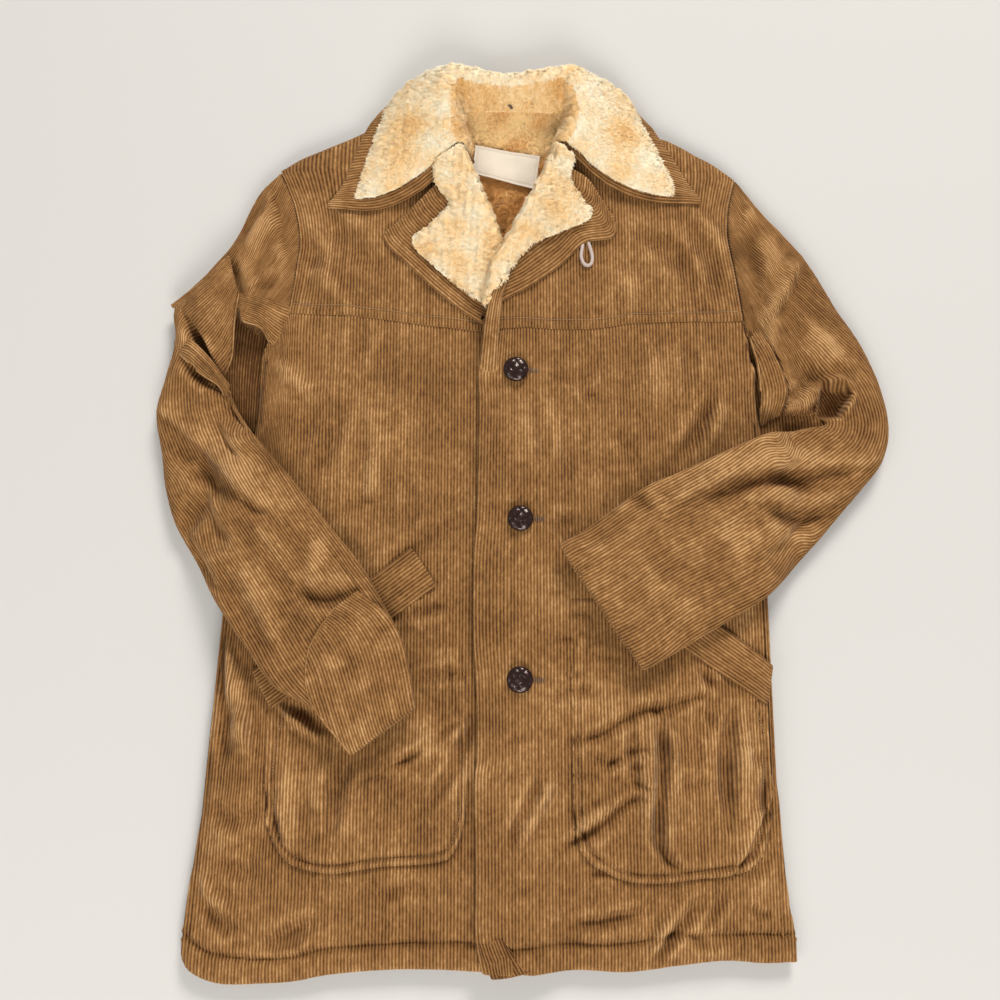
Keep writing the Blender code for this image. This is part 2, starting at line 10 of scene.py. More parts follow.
import bmesh
import bpy
import numpy as np
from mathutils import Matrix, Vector

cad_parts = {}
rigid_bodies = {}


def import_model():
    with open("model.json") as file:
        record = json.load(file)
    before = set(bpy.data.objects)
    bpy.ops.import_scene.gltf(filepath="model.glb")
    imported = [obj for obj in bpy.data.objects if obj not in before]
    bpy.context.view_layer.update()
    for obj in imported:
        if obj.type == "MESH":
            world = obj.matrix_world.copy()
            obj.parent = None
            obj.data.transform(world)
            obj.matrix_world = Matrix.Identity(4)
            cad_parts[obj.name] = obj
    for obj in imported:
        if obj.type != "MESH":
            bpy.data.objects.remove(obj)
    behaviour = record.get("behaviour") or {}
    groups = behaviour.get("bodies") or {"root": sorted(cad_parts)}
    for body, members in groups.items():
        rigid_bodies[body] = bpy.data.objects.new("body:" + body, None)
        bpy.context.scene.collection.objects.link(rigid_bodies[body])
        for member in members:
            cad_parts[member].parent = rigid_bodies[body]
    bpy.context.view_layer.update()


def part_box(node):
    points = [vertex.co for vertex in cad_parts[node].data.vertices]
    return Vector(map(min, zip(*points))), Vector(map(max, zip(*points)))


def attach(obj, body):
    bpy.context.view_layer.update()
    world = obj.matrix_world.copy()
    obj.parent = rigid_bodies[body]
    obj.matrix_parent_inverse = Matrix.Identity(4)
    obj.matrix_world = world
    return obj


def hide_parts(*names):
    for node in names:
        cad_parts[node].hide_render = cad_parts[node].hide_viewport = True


for old in list(bpy.data.objects):
    bpy.data.objects.remove(old, do_unlink=True)
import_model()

# ---- sizes, mm, as in the part ----
MIDDLE = np.array([22.5, 217.14, 0.0])
LAY = 1.2
ARM_GAP = 2.0
BACK_WALL = 8.0
COLLAR_WALL = 3.0
PILE = 6.0
LINING = 4.6
PATCH_WALL = 1.8
WELT_WALL = 2.8
EDGE_Z = 11.8
SIDE_ROUND, HEM_ROUND, SHOULDER_ROUND = 34.0, 24.0, 30.0
LAP_LIFT, LAP_EDGE, LAP_FADE = 9.6, 26.0, 40.0
BUTTON_R, BUTTON_H = 12.8, 7.6
LOOP_R = 1.9
WALE = 3.175  # eight wales to the inch
RIB = 0.36  # half height of a wale
COL = WALE / 4

# ---- camera, as found from the photograph ----
FOCAL, HIGH, TILT = 1100.0, 1098.5, math.radians(11.0)

HEM = [(-299, -217), (-289, -235), (-261, -246), (-222, -246), (-191, -244), (-156, -238), (-103, -234), (-59, -234),
       (-17, -236), (28, -237), (73, -234), (117, -236), (161, -231), (210, -226), (245, -228), (277, -227)]
SIDE_RIGHT = [(-299, -217), (-298, -205), (-295, -172), (-289, -127), (-284, -81), (-283, -34), (-278, 13), (-278, 62),
              (-273, 111), (-267, 161), (-259, 212), (-252, 263), (-248, 295), (-246, 337), (-242, 366), (-228, 392),
              (-218, 407)]
SIDE_LEFT = [(277, -227), (277, -205), (272, -172), (269, -127), (267, -81), (265, -34), (268, 13), (267, 62),
             (265, 111), (266, 161), (266, 212), (266, 263), (264, 295), (260, 337), (254, 370), (250, 398)]
ARM_RIGHT = [(-218, 407), (-211, 454), (-209, 488), (-215, 522), (-228, 556), (-233, 566)]
ARM_LEFT = [(250, 398), (248, 421), (243, 454), (239, 482), (239, 515), (244, 539), (249, 557)]
FRONT_EDGE = [(-14, -239), (-21, -201), (-21, -149), (-22, -64), (-20, -38), (-21, 29), (-24, 74), (-24, 144),
              (-21, 191), (-20, 240), (-19, 308), (-20, 331), (-19, 355), (-14, 388)]
UNDER_EDGE = [(24, -237), (24, 388)]
YOKE_RIGHT = [(24, 388), (0, 387), (-20, 387), (-77, 394), (-114, 399), (-151, 404), (-218, 407)]
YOKE_LEFT = [(-14, 388), (0, 387), (49, 389), (93, 390), (140, 396), (200, 397), (250, 398)]
ROLL_RIGHT = [(24, 388), (18, 420), (4, 455), (-4, 476), (-12, 501), (-22, 531), (-31, 560), (-41, 583), (-47, 610),
              (-54, 640)]
ROLL_LEFT = [(-14, 388), (-6, 415), (2, 457), (11, 476), (24, 498), (38, 528), (51, 557), (64, 581), (73, 607),
             (80, 638)]
SHOULDER_RIGHT = [(-54, 640), (-100, 634), (-138, 617), (-166, 602), (-203, 584), (-233, 566)]
SHOULDER_LEFT = [(80, 638), (120, 630), (167, 608), (193, 594), (225, 575), (249, 557)]
NECK = [(-54, 640), (-34, 630), (12, 626), (62, 629), (80, 638)]
FULL = [(-250, 14.5), (-205, 17.0), (-150, 19.5), (0, 20.0), (200, 20.0), (400, 20.0), (560, 18.5), (650, 17.0)]
FOLDS = [
    (-262, -190, -240, 20, 16, 3.5),
    (-120, -190, -150, -60, 26, 2.0),
    (170, -130, 150, 20, 20, 3.0),
    (95, -200, 150, -60, 22, 2.5),
    (232, -170, 240, 20, 18, 3.0),
    (-120, 300, -90, 180, 34, 2.2),
    (150, 350, 120, 240, 38, 2.2),
    (-200, 330, -180, 440, 24, 2.5),
    (205, 330, 190, 440, 24, 2.5),
    (60, -40, 120, 10, 18, 2.2),
]
LAPEL_ROLL_RIGHT = [(-15, 398), (-9, 420), (-1, 455), (-8, 476), (-14, 501), (-22, 531), (-30, 552), (-35, 563)]
LAPEL_EDGE_RIGHT = [(-17, 394), (-44, 413), (-72, 438), (-97, 462), (-115, 480), (-121, 491)]
LAPEL_TOP_RIGHT = [(-35, 563), (-62, 548), (-90, 521), (-121, 491)]
LAPEL_FOOT_RIGHT = [(-15, 398), (-17, 394)]
LAPEL_ROLL_LEFT = [(-11, 393), (-5, 415), (3, 457), (12, 476), (25, 498), (38, 528), (49, 550), (58, 568)]
LAPEL_EDGE_LEFT = [(-8, 391), (-1, 413), (33, 434), (66, 463), (88, 484), (117, 490), (120, 505)]
LAPEL_TOP_LEFT = [(58, 568), (90, 552), (105, 532), (120, 505)]
LAPEL_FOOT_LEFT = [(-11, 393), (-8, 391)]
PILE_EDGE_RIGHT = [(-14, 409), (-36, 432), (-60, 457), (-88, 486), (-72, 508), (-55, 528), (-53, 545)]
PILE_EDGE_LEFT = [(-6, 408), (-2, 424), (36, 459), (54, 478), (72, 502), (91, 508), (82, 526), (74, 544), (72, 556)]
ROLL_RISE = [(0.0, 3.0), (0.25, 7.0), (0.55, 10.0), (1.0, 13.0)]
COLLAR = [
    ((-27, 573, 25), (-43, 580, 36), (-80, 544, 29), (-126, 522, 25), (-181, 524, 23)),
    ((-37, 594, 23), (-50, 602, 38), (-90, 576, 31), (-126, 556, 26), (-164, 549, 22)),
    ((-41, 612, 21), (-53, 628, 39), (-86, 614, 33), (-114, 607, 27), (-143, 608, 20)),
    ((-42, 628, 20), (-52, 651, 41), (-76, 648, 36), (-102, 651, 24), (-123, 647, 6)),
    ((-34, 636, 20), (-43, 665, 40), (-56, 672, 35), (-74, 673, 20), (-86, 668, 5)),
    ((-12, 636, 20), (-14, 659, 34), (-15, 668, 29.5), (-16, 673, 17), (-17, 675, 4.5)),
    ((12, 635, 20), (12, 657, 33), (12, 666, 28.5), (12, 671, 16), (12, 673, 4.5)),
    ((36, 635, 20), (38, 660, 35), (39, 669, 30), (40, 674, 17), (41, 676, 4.5)),
    ((60, 633, 20), (66, 664, 40), (80, 669, 35), (95, 668, 20), (107, 662, 5)),
    ((69, 624, 20), (79, 648, 41), (101, 648, 36), (126, 650, 24), (145, 642, 6)),
    ((69, 610, 21), (83, 626, 39), (112, 614, 33), (140, 606, 27), (167, 605, 20)),
    ((63, 593, 23), (78, 604, 38), (118, 579, 31), (157, 564, 26), (195, 553, 22)),
    ((50, 577, 25), (66, 587, 36), (110, 550, 29), (156, 531, 25), (211, 528, 23)),
]
SLEEVE_RIGHT = [
    (-235, 566, -248, 337, 1.00, 0, 21), (-256, 539, -257, 333, 0.60, 0, 25), (-279, 486, -266, 330, 0.25, 0, 27),
    (-305, 452, -272, 328, 0.05, 0, 27), (-337, 415, -277, 328, 0, 0, 25), (-335, 379, -279, 327, 0, 0, 23),
    (-343, 338, -277, 322, 0, 0, 24), (-350, 300, -264, 298, 0, 0.6, 25), (-342, 258, -243, 270, 0, 1, 25),
    (-337, 225, -214, 237, 0, 1, 24), (-325, 187, -190, 209, 0, 1, 23), (-300, 144, -160, 172, 0, 1, 22),
    (-275, 105, -135, 142, 0, 1, 21), (-243, 62, -115, 108, 0, 1, 21), (-215, 26, -99, 79, 0, 1, 21),
    (-180, 6, -90, 50, 0, 1, 21), (-163, -12, -85, 28, 0, 1, 21), (-140, -37, -82, 5, 0, 1, 20),
]
SLEEVE_LEFT = [
    (251, 557, 266, 295, 1.00, 0, 21), (279, 516, 275, 300, 0.55, 0, 25), (316, 471, 288, 298, 0.2, 0, 27),
    (347, 414, 304, 297, 0, 0, 27), (371, 374, 318, 296, 0, 0, 26), (388, 330, 328, 294, 0, 0, 25),
    (395, 285, 331, 290, 0, 0, 24), (386, 250, 327, 287, 0, 0, 25), (363, 221, 314, 285, 0, 0.2, 26),
    (338, 193, 294, 281, 0, 0.6, 26), (318, 170, 272, 276, 0, 1, 25), (298, 149, 248, 267, 0, 1, 24),
    (262, 114, 212, 251, 0, 1, 23), (222, 89, 176, 234, 0, 1, 22), (188, 69, 142, 219, 0, 1, 21),
    (152, 48, 86, 179, 0, 1, 21), (138, 41, 59, 163, 0, 1, 20),
]
RING = 16
SLEEVE_REACH = 20.0
SLEEVE_SQUARE = 2.7
POCKET_RIGHT = dict(
    lower=[(-222, -70), (-217, -108), (-197, -137), (-159, -146), (-113, -140), (-66, -137), (-44, -128), (-33, -95)],
    upper=[(-214, 5), (-170, 36), (-120, 76), (-66, 117)],
    outer=[(-222, -70), (-223, -40), (-214, 5)],
    inner=[(-33, -95), (-32, -20), (-46, 60), (-66, 117)],
)
POCKET_LEFT = dict(
    lower=[(258, -70), (251, -118), (230, -143), (187, -151), (137, -155), (98, -145), (76, -124), (70, -85)],
    upper=[(252, 8), (205, 38), (150, 82), (95, 117)],
    outer=[(258, -70), (260, -20), (252, 8)],
    inner=[(70, -85), (70, 0), (80, 70), (95, 117)],
)
WELT_RIGHT = [(-233, 46), (-89, 161), (-64, 124), (-213, 11)]
WELT_LEFT = [(259, 51), (117, 161), (92, 124), (251, 14)]
BUTTONS = [("button_top", 16, 342), ("button_middle", 20, 189), ("button_bottom", 19, 32)]
LOOP = [(86, 479), (84.5, 468), (87, 460), (91, 457.5), (95, 460), (96, 468), (93.5, 479)]
LABEL = [(-29, 565), (37, 547), (42, 583), (-26, 596)]
LINING_TOP = [(-32, 622), (12, 619), (60, 621)]
LINING_RIGHT = [(-1, 474), (-14, 520), (-26, 560), (-33, 590), (-32, 622)]
LINING_LEFT = [(4, 474), (26, 520), (46, 560), (60, 592), (60, 621)]
LINING_FOOT = [(-1, 474), (4, 474)]

# ---- creases: kind, depth mm, half width mm, places in the photograph ----
# v is a trough with soft banks, r a ridge, s a lap whose lip is on the left hand of the line
BODY_CREASES = [
    # photo left, below the sleeve
    ("r", 5.0, 8, [(237, 668), (243, 715), (249, 764)]),
    ("v", 6.0, 8, [(224, 700), (227, 735), (224, 760)]),
    ("v", 2.6, 6, [(247, 690), (251, 720), (258, 750)]),
    ("v", 9.0, 5, [(221, 636), (219, 668), (222, 706)]),
    ("r", 4.0, 5, [(230, 646), (229, 676), (233, 708)]),
    ("r", 5.0, 4, [(279, 704), (291, 718), (308, 730), (322, 743)]),
    ("v", 3.2, 6, [(292, 705), (312, 718), (332, 733)]),
    ("r", 3.5, 6, [(234, 718), (229, 752)]),
    ("v", 2.8, 8, [(208, 808), (236, 820), (264, 810)]),
    ("v", 2.0, 7, [(218, 858), (240, 872), (264, 870)]),
    ("r", 4.0, 6, [(200, 872), (209, 892), (228, 911)]),
    ("v", 3.0, 8, [(258, 947), (287, 936), (318, 922)]),
    ("v", 3.0, 7, [(206, 905), (222, 925), (240, 930)]),
    ("r", 3.0, 9, [(287, 750), (289, 808), (288, 866)]),
    ("v", 3.2, 8, [(304, 800), (310, 822), (318, 836)]),
    ("v", 4.0, 10, [(346, 756), (334, 800), (324, 848)]),
    ("v", 3.0, 8, [(390, 764), (423, 761), (448, 748)]),
    ("v", 3.5, 7, [(430, 808), (452, 768), (469, 732), (474, 712)]),
    ("v", 2.4, 6, [(372, 905), (402, 890), (440, 893)]),
    ("v", 3.0, 6, [(394, 619), (424, 611), (458, 600)]),
    ("v", 2.6, 6, [(412, 679), (440, 674), (470, 674)]),
    ("v", 2.8, 8, [(379, 574), (412, 549), (455, 520)]),
    ("v", 2.0, 6, [(330, 520), (352, 505), (384, 500)]),
    ("r", 2.6, 9, [(418, 700), (428, 735), (421, 775)]),
    # photo right, below the sleeve
    ("v", 5.5, 7, [(656, 706), (661, 757), (657, 830), (667, 860), (676, 868)]),
    ("r", 3.0, 7, [(650, 716), (652, 770), (648, 834)]),
    ("v", 3.6, 6, [(566, 741), (600, 735), (640, 712), (667, 708), (709, 693)]),
    ("v", 3.4, 5, [(632, 716), (631, 748), (637, 786)]),
    ("r", 3.0, 5, [(692, 668), (706, 687), (716, 696)]),
    ("v", 4.0, 6, [(700, 672), (713, 690)]),
    ("v", 4.2, 8, [(732, 708), (727, 757), (728, 826)]),
    ("r", 3.0, 9, [(744, 716), (741, 772), (745, 812)]),
    ("v", 1.3, 7, [(666, 792), (690, 784), (718, 788)]),
    ("v", 1.3, 6, [(746, 752), (760, 759), (774, 756)]),
    ("v", 3.6, 6, [(557, 851), (588, 834), (634, 801)]),
    ("r", 2.6, 6, [(563, 838), (592, 820), (622, 797)]),
    ("v", 3.4, 6, [(503, 852), (522, 820), (545, 770)]),
    ("r", 2.4, 6, [(514, 848), (534, 812), (556, 772)]),
    ("v", 2.8, 6, [(548, 700), (575, 690), (602, 694)]),
    ("v", 2.6, 5, [(590, 756), (612, 764), (633, 760)]),
    ("v", 3.2, 6, [(566, 926), (606, 921), (645, 912), (655, 893)]),
    ("v", 4.0, 6, [(657, 968), (672, 937), (696, 909), (720, 883)]),
    ("r", 3.0, 6, [(648, 960), (664, 934), (686, 908)]),
    ("v", 3.2, 6, [(707, 926), (716, 908), (727, 888)]),
    ("v", 2.4, 5, [(742, 880), (758, 872), (774, 852)]),
    ("v", 3.0, 6, [(770, 836), (764, 800), (770, 760)]),
    # small creases over and round the photo-right pocket
    ("v", 3.0, 4, [(603, 774), (612, 764), (626, 754), (657, 749)]),
    ("r", 2.2, 4, [(606, 780), (628, 762), (655, 755)]),
    ("v", 2.2, 4, [(574, 777), (590, 777), (603, 774)]),
    ("v", 3.2, 4, [(629, 777), (642, 786), (655, 790)]),
    ("r", 2.4, 4, [(632, 771), (646, 780), (657, 783)]),
    ("v", 3.0, 4, [(605, 817), (622, 806), (639, 798), (657, 802)]),
    ("v", 2.8, 4, [(702, 707), (712, 723), (717, 736)]),
    ("v", 2.2, 3, [(728, 746), (744, 744), (759, 747)]),
    ("s", 4.5, 5, [(733, 871), (744, 851), (757, 822), (770, 806)]),
    ("v", 2.6, 4, [(543, 733), (553, 732), (563, 736)]),
    ("v", 2.6, 4, [(545, 639), (561, 638), (577, 643)]),
    ("v", 2.2, 4, [(582, 660), (604, 656), (626, 660)]),
    ("v", 2.4, 4, [(612, 716), (620, 707), (631, 702)]),
    ("v", 2.6, 4, [(657, 843), (670, 862), (684, 870)]),
    ("r", 2.2, 4, [(668, 722), (674, 748), (670, 776)]),
    ("v", 2.0, 4, [(680, 733), (695, 742), (702, 756)]),
    ("v", 2.4, 4, [(560, 620), (580, 611), (596, 616)]),
    ("v", 2.0, 4, [(560, 668), (572, 676), (590, 672)]),
    ("v", 2.6, 5, [(690, 935), (706, 944), (730, 940)]),
    ("v", 2.6, 4, [(580, 880), (604, 872), (628, 878)]),
    ("v", 2.4, 4, [(748, 905), (762, 915), (778, 912)]),
    # small creases over the photo-left pocket and beside the front edge
    ("v", 2.8, 4, [(386, 769), (412, 756), (440, 736), (471, 714)]),
    ("r", 2.2, 4, [(392, 776), (418, 762), (446, 744)]),
    ("v", 2.2, 4, [(352, 790), (372, 776), (396, 782)]),
    ("v", 2.4, 4, [(404, 826), (424, 812), (446, 820)]),
    ("v", 2.2, 4, [(430, 650), (446, 640), (466, 646)]),
    ("v", 2.6, 4, [(266, 790), (272, 815), (280, 838)]),
    ("v", 2.4, 4, [(304, 890), (330, 884), (356, 890)]),
    ("v", 2.4, 4, [(500, 690), (514, 681), (530, 678)]),
    ("v", 2.6, 4, [(498, 750), (518, 740), (540, 735)]),
    ("v", 2.4, 4, [(500, 902), (520, 890), (545, 886)]),
    ("v", 2.0, 4, [(500, 505), (516, 513), (532, 512)]),
    ("v", 2.2, 4, [(505, 470), (522, 463), (540, 463)]),
    ("v", 2.2, 4, [(506, 560), (522, 549), (542, 548)]),
    ("v", 2.2, 4, [(545, 600), (560, 590), (576, 590)]),
    ("v", 2.2, 4, [(296, 500), (312, 512), (330, 518)]),
    ("v", 2.2, 4, [(284, 556), (296, 580), (302, 604)]),
    ("v", 2.2, 4, [(420, 600), (438, 582), (450, 560)]),
    # chest
    ("r", 4.0, 7, [(271, 356), (288, 374), (305, 390), (322, 398)]),
    ("v", 2.6, 9, [(359, 318), (360, 340), (358, 360)]),
    ("v", 2.6, 9, [(350, 394), (330, 440), (312, 488)]),
    ("v", 2.0, 8, [(356, 400), (362, 446), (360, 500)]),
    ("v", 2.0, 8, [(340, 396), (312, 430), (292, 470)]),
    ("r", 2.6, 10, [(372, 448), (370, 476), (378, 500)]),
    ("v", 2.2, 7, [(400, 470), (412, 500), (408, 540)]),
    ("v", 2.6, 6, [(536, 372), (566, 376), (587, 374), (601, 347)]),
    ("v", 2.6, 6, [(574, 385), (590, 393), (606, 405)]),
    ("v", 2.6, 7, [(531, 401), (544, 438), (540, 470)]),
    ("v", 1.8, 7, [(566, 424), (568, 462), (565, 503)]),
    ("v", 2.4, 7, [(602, 428), (627, 442), (638, 476)]),
    ("v", 4.2, 8, [(713, 396), (702, 422), (692, 440), (673, 458)]),
    ("r", 3.2, 8, [(724, 400), (712, 436)]),
    ("v", 2.6, 6, [(545, 524), (560, 523), (576, 519)]),
    ("v", 2.0, 6, [(545, 682), (566, 678), (590, 684)]),
    ("v", 2.6, 5, [(482, 388), (494, 386), (505, 390)]),
    ("r", 3.4, 26, [(646, 384), (668, 380)]),
    ("v", 2.4, 9, [(630, 330), (634, 360), (628, 392)]),
    ("v", 2.2, 8, [(682, 334), (690, 362), (684, 392)]),
    # yokes
    ("v", 3.0, 12, [(318, 212), (352, 246), (384, 270)]),
    ("r", 2.6, 10, [(296, 262), (330, 286), (352, 316)]),
    ("v", 2.4, 10, [(300, 226), (312, 256), (306, 290)]),
    ("r", 3.0, 8, [(684, 206), (706, 226), (726, 252)]),
    ("v", 3.2, 11, [(640, 232), (672, 254), (692, 284)]),
    ("v", 2.6, 9, [(690, 240), (712, 264), (716, 296)]),
    ("r", 2.4, 10, [(612, 262), (630, 290), (628, 316)]),
]
HEM_SEAM = [(184, 934), (200, 949), (224, 957), (272, 960), (319, 951), (366, 946), (420, 943), (475, 944), (490, 947),
            (512, 949), (559, 944), (600, 945), (637, 943), (668, 937), (720, 935), (796, 935)]
ARM_RIGHT_CREASES = [
    ("v", 6.5, 5, [(274, 180), (277, 196), (281, 216), (282, 236)]),
    ("r", 4.0, 8, [(262, 205), (258, 228), (246, 250)]),
    ("v", 3.0, 6, [(262, 190), (252, 214), (240, 236)]),
    ("r", 3.6, 5, [(270, 240), (281, 250), (293, 262)]),
    ("v", 3.2, 5, [(258, 284), (268, 282), (280, 272)]),
    ("v", 3.0, 6, [(286, 226), (291, 252), (290, 282)]),
    ("v", 6.0, 7, [(226, 254), (233, 278), (239, 296), (250, 300)]),
    ("v", 8.0, 8, [(188, 311), (200, 334), (215, 364)]),
    ("v", 5.0, 6, [(180, 352), (199, 372), (221, 386)]),
    ("s", 5.5, 8, [(160, 412), (190, 433), (220, 462), (250, 493), (285, 521)]),
    ("v", 3.0, 9, [(166, 442), (196, 462), (228, 496)]),
    ("r", 3.0, 7, [(258, 520), (272, 547), (294, 586)]),
    ("v", 3.6, 6, [(264, 540), (282, 572), (294, 600)]),
    ("r", 3.2, 8, [(322, 540), (316, 562), (312, 578)]),
    ("v", 3.6, 6, [(294, 586), (314, 597), (345, 600), (360, 592)]),
    ("r", 4.0, 7, [(300, 576), (326, 582), (356, 580)]),
    ("v", 3.0, 8, [(202, 494), (190, 514), (181, 533)]),
    ("r", 2.6, 9, [(238, 560), (262, 606), (286, 650)]),
    ("v", 2.6, 9, [(222, 570), (246, 616), (272, 662)]),
    ("r", 2.0, 9, [(206, 430), (250, 470), (290, 500)]),
    ("v", 2.4, 10, [(330, 520), (346, 548), (360, 572)]),
]
ARM_LEFT_CREASES = [
    ("v", 5.0, 5, [(748, 192), (741, 206), (738, 222)]),
    ("r", 4.0, 9, [(764, 226), (772, 250), (772, 276)]),
    ("v", 3.2, 6, [(748, 236), (756, 260), (758, 282)]),
    ("s", 8.0, 7, [(768, 318), (785, 292), (794, 274), (806, 252)]),
    ("r", 4.5, 6, [(758, 296), (766, 318), (775, 346)]),
    ("v", 6.0, 7, [(764, 300), (762, 322), (770, 340)]),
    ("r", 3.5, 10, [(806, 316), (826, 344), (848, 360)]),
    ("v", 4.0, 8, [(790, 350), (806, 372), (828, 376)]),
    ("r", 5.0, 5, [(800, 405), (812, 396), (822, 384)]),
    ("r", 4.5, 4, [(782, 402), (792, 404), (803, 402)]),
    ("v", 3.0, 4, [(792, 392), (800, 388), (806, 380)]),
    ("r", 5.0, 6, [(826, 380), (842, 380), (852, 392), (842, 416)]),
    ("v", 4.0, 5, [(768, 412), (784, 412), (802, 418)]),
    ("r", 3.5, 7, [(632, 492), (696, 464), (757, 438), (812, 423)]),
    ("s", 7.0, 8, [(662, 512), (705, 485), (768, 467), (820, 463), (874, 461)]),
    ("v", 3.0, 8, [(700, 503), (752, 484), (812, 481)]),
    ("r", 4.0, 6, [(744, 500), (779, 495), (811, 501), (852, 490)]),
    ("v", 5.0, 8, [(760, 508), (790, 517), (832, 512)]),
    ("v", 4.0, 5, [(630, 488), (640, 500), (654, 515)]),
    ("r", 3.5, 5, [(628, 492), (620, 506), (615, 519)]),
    ("v", 2.4, 8, [(690, 530), (716, 556), (700, 586)]),
    ("r", 2.4, 12, [(716, 520), (740, 540), (770, 548)]),
    ("v", 2.6, 9, [(650, 540), (664, 566), (690, 580)]),
    ("r", 2.0, 12, [(640, 566), (668, 598), (700, 610)]),
]


# ---- places ----
def at(px, py, z):
    """The layout point under a pixel of the photograph, at height z."""
    u, v = px - 500.0, 500.0 - py
    t = (HIGH - z) / (FOCAL * math.cos(TILT) - v * math.sin(TILT))
    return t * u, t * (v * math.cos(TILT) + FOCAL * math.sin(TILT))


def to_row(p):
    return (np.asarray(p, float) - MIDDLE) * 0.001


# ---- curves and patches, as in the part ----
def curve(rows):
    p = np.array(rows, float)
    if len(p) == 2:
        dense = p[0] + np.linspace(0, 1, 41)[:, None] * (p[1] - p[0])
    else:
        q = np.vstack([2 * p[0] - p[1], p, 2 * p[-1] - p[-2]])
        t = np.linspace(0, 1, 17)[:-1, None]
        dense = [0.5 * ((2 * b) + (c - a) * t + (2 * a - 5 * b + 4 * c - d) * t**2 + (3 * b - a - 3 * c + d) * t**3)
                 for a, b, c, d in zip(q, q[1:], q[2:], q[3:])]
        dense = np.vstack(dense + [p[-1:]])
    gap = np.hypot(*np.diff(dense[:, :2], axis=0).T)
    s = np.concatenate([[0], np.cumsum(gap)]) / gap.sum()
    return lambda v: np.stack([np.interp(v, s, dense[:, k]) for k in range(dense.shape[1])], -1)


def patch(low, high, first, last, u, v):
    c0, c1, d0, d1 = curve(low), curve(high), curve(first), curve(last)
    U, V = np.meshgrid(u, v, indexing="ij") if np.ndim(u) == 1 else (u, v)
    U3, V3 = U[..., None], V[..., None]
    p00, p10, p01, p11 = (np.array(e, float) for e in (low[0], low[-1], high[0], high[-1]))
    ruled = (1 - V3) * c0(U) + V3 * c1(U) + (1 - U3) * d0(V) + U3 * d1(V)
    corners = (1 - U3) * (1 - V3) * p00 + U3 * (1 - V3) * p10 + (1 - U3) * V3 * p01 + U3 * V3 * p11
    return ruled - corners


def along(rows, x, key=0, value=1):
    r = np.asarray(sorted(map(tuple, rows), key=lambda row: row[key]))
    return np.interp(x, r[:, key], r[:, value])


def fine(rows, n=260):
    return curve(rows)(np.linspace(0, 1, n))


def quarter(d, r):
    q = np.clip(d / r, 0, 1)
    return np.sqrt(1 - (1 - q) ** 2)


def step(q):
    q = np.clip(q, 0, 1)
    return q * q * (3 - 2 * q)


def evenly(n):
    return np.linspace(0, 1, n)


SHOULDER = SHOULDER_RIGHT[::-1] + NECK[1:-1] + SHOULDER_LEFT
HEM_F, SIDE_R_F, SIDE_L_F, SHOULDER_F = fine(HEM), fine(SIDE_RIGHT), fine(SIDE_LEFT), fine(SHOULDER)


def folds(x, y):
    z = 0.0
    for x0, y0, x1, y1, w, up in FOLDS:
        dx, dy = x1 - x0, y1 - y0
        t = np.clip(((x - x0) * dx + (y - y0) * dy) / (dx * dx + dy * dy), 0, 1)
        z = z + up * np.exp(-((x - x0 - t * dx) ** 2 + (y - y0 - t * dy) ** 2) / w**2)
    return z


def body_top(x, y):
    right, left = along(SIDE_R_F, y, 1, 0), along(SIDE_L_F, y, 1, 0)
    side = np.minimum(x - right, left - x) + 60 * step((y - 320) / 40)
    ends = quarter(y - along(HEM_F, x), HEM_ROUND) * quarter(along(SHOULDER_F, x) + 4 - y, SHOULDER_ROUND)
    f = quarter(side, SIDE_ROUND) * ends
    return EDGE_Z + (along(FULL, y) + folds(x, y) - EDGE_Z) * f


def lap(x):
    return LAP_LIFT * (1 - step((x - LAP_EDGE) / LAP_FADE))


def left_top(x, y):
    return body_top(x, y) + lap(x)


def seat(xy, laid, reach):
    flat = xy.reshape(-1, 2)
    out = np.zeros(len(flat))
    for i, (x, y) in enumerate(flat):
        near = (laid[:, 0] - x) ** 2 + (laid[:, 1] - y) ** 2 < reach * reach
        if near.any():
            out[i] = laid[near, 2].max()
    return out.reshape(xy.shape[:-1])


# ---- unevenness and creases ----
def wobble(x, y, size, seed, n=9):
    """A smooth uneven field, about -1 to 1, with features of the given size."""
    r = np.random.default_rng(seed)
    a, k, ph = r.uniform(0, 2 * math.pi, n), r.uniform(0.6, 1.5, n) * 2 * math.pi / size / 1.6, r.uniform(0, 6.28, n)
    return sum(np.sin(k[i] * (x * math.cos(a[i]) + y * math.sin(a[i])) + ph[i]) for i in range(n)) / n**0.5 * 0.8


def line_field(x, y, pts):
    """Distance to a line, place along it from 0 to 1, and side of it (left is positive)."""
    p = curve(pts)(evenly(max(6, 5 * (len(pts) - 1))))
    seg = np.diff(p, axis=0)
    size = np.maximum(np.hypot(*seg.T), 1e-6)
    start = np.concatenate([[0], np.cumsum(size)])
    best, s, side = np.full(x.shape, 1e12), np.zeros(x.shape), np.ones(x.shape)
    for a, d, n, c in zip(p, seg, size, start):
        t = np.clip(((x - a[0]) * d[0] + (y - a[1]) * d[1]) / n**2, 0, 1)
        ex, ey = x - a[0] - t * d[0], y - a[1] - t * d[1]
        q = ex * ex + ey * ey
        nearer = q < best
        best = np.where(nearer, q, best)
        s = np.where(nearer, (c + t * n) / start[-1], s)
        side = np.where(nearer, np.sign(d[0] * ey - d[1] * ex), side)
    return np.sqrt(best), s, side


def in_shape(x, y, pts):
    odd = np.zeros(x.shape, bool)
    for (ax, ay), (bx, by) in zip(pts, np.roll(pts, -1, 0)):
        if ay != by:
            odd ^= ((ay > y) != (by > y)) & (x < (bx - ax) * (y - ay) / (by - ay) + ax)
    return odd


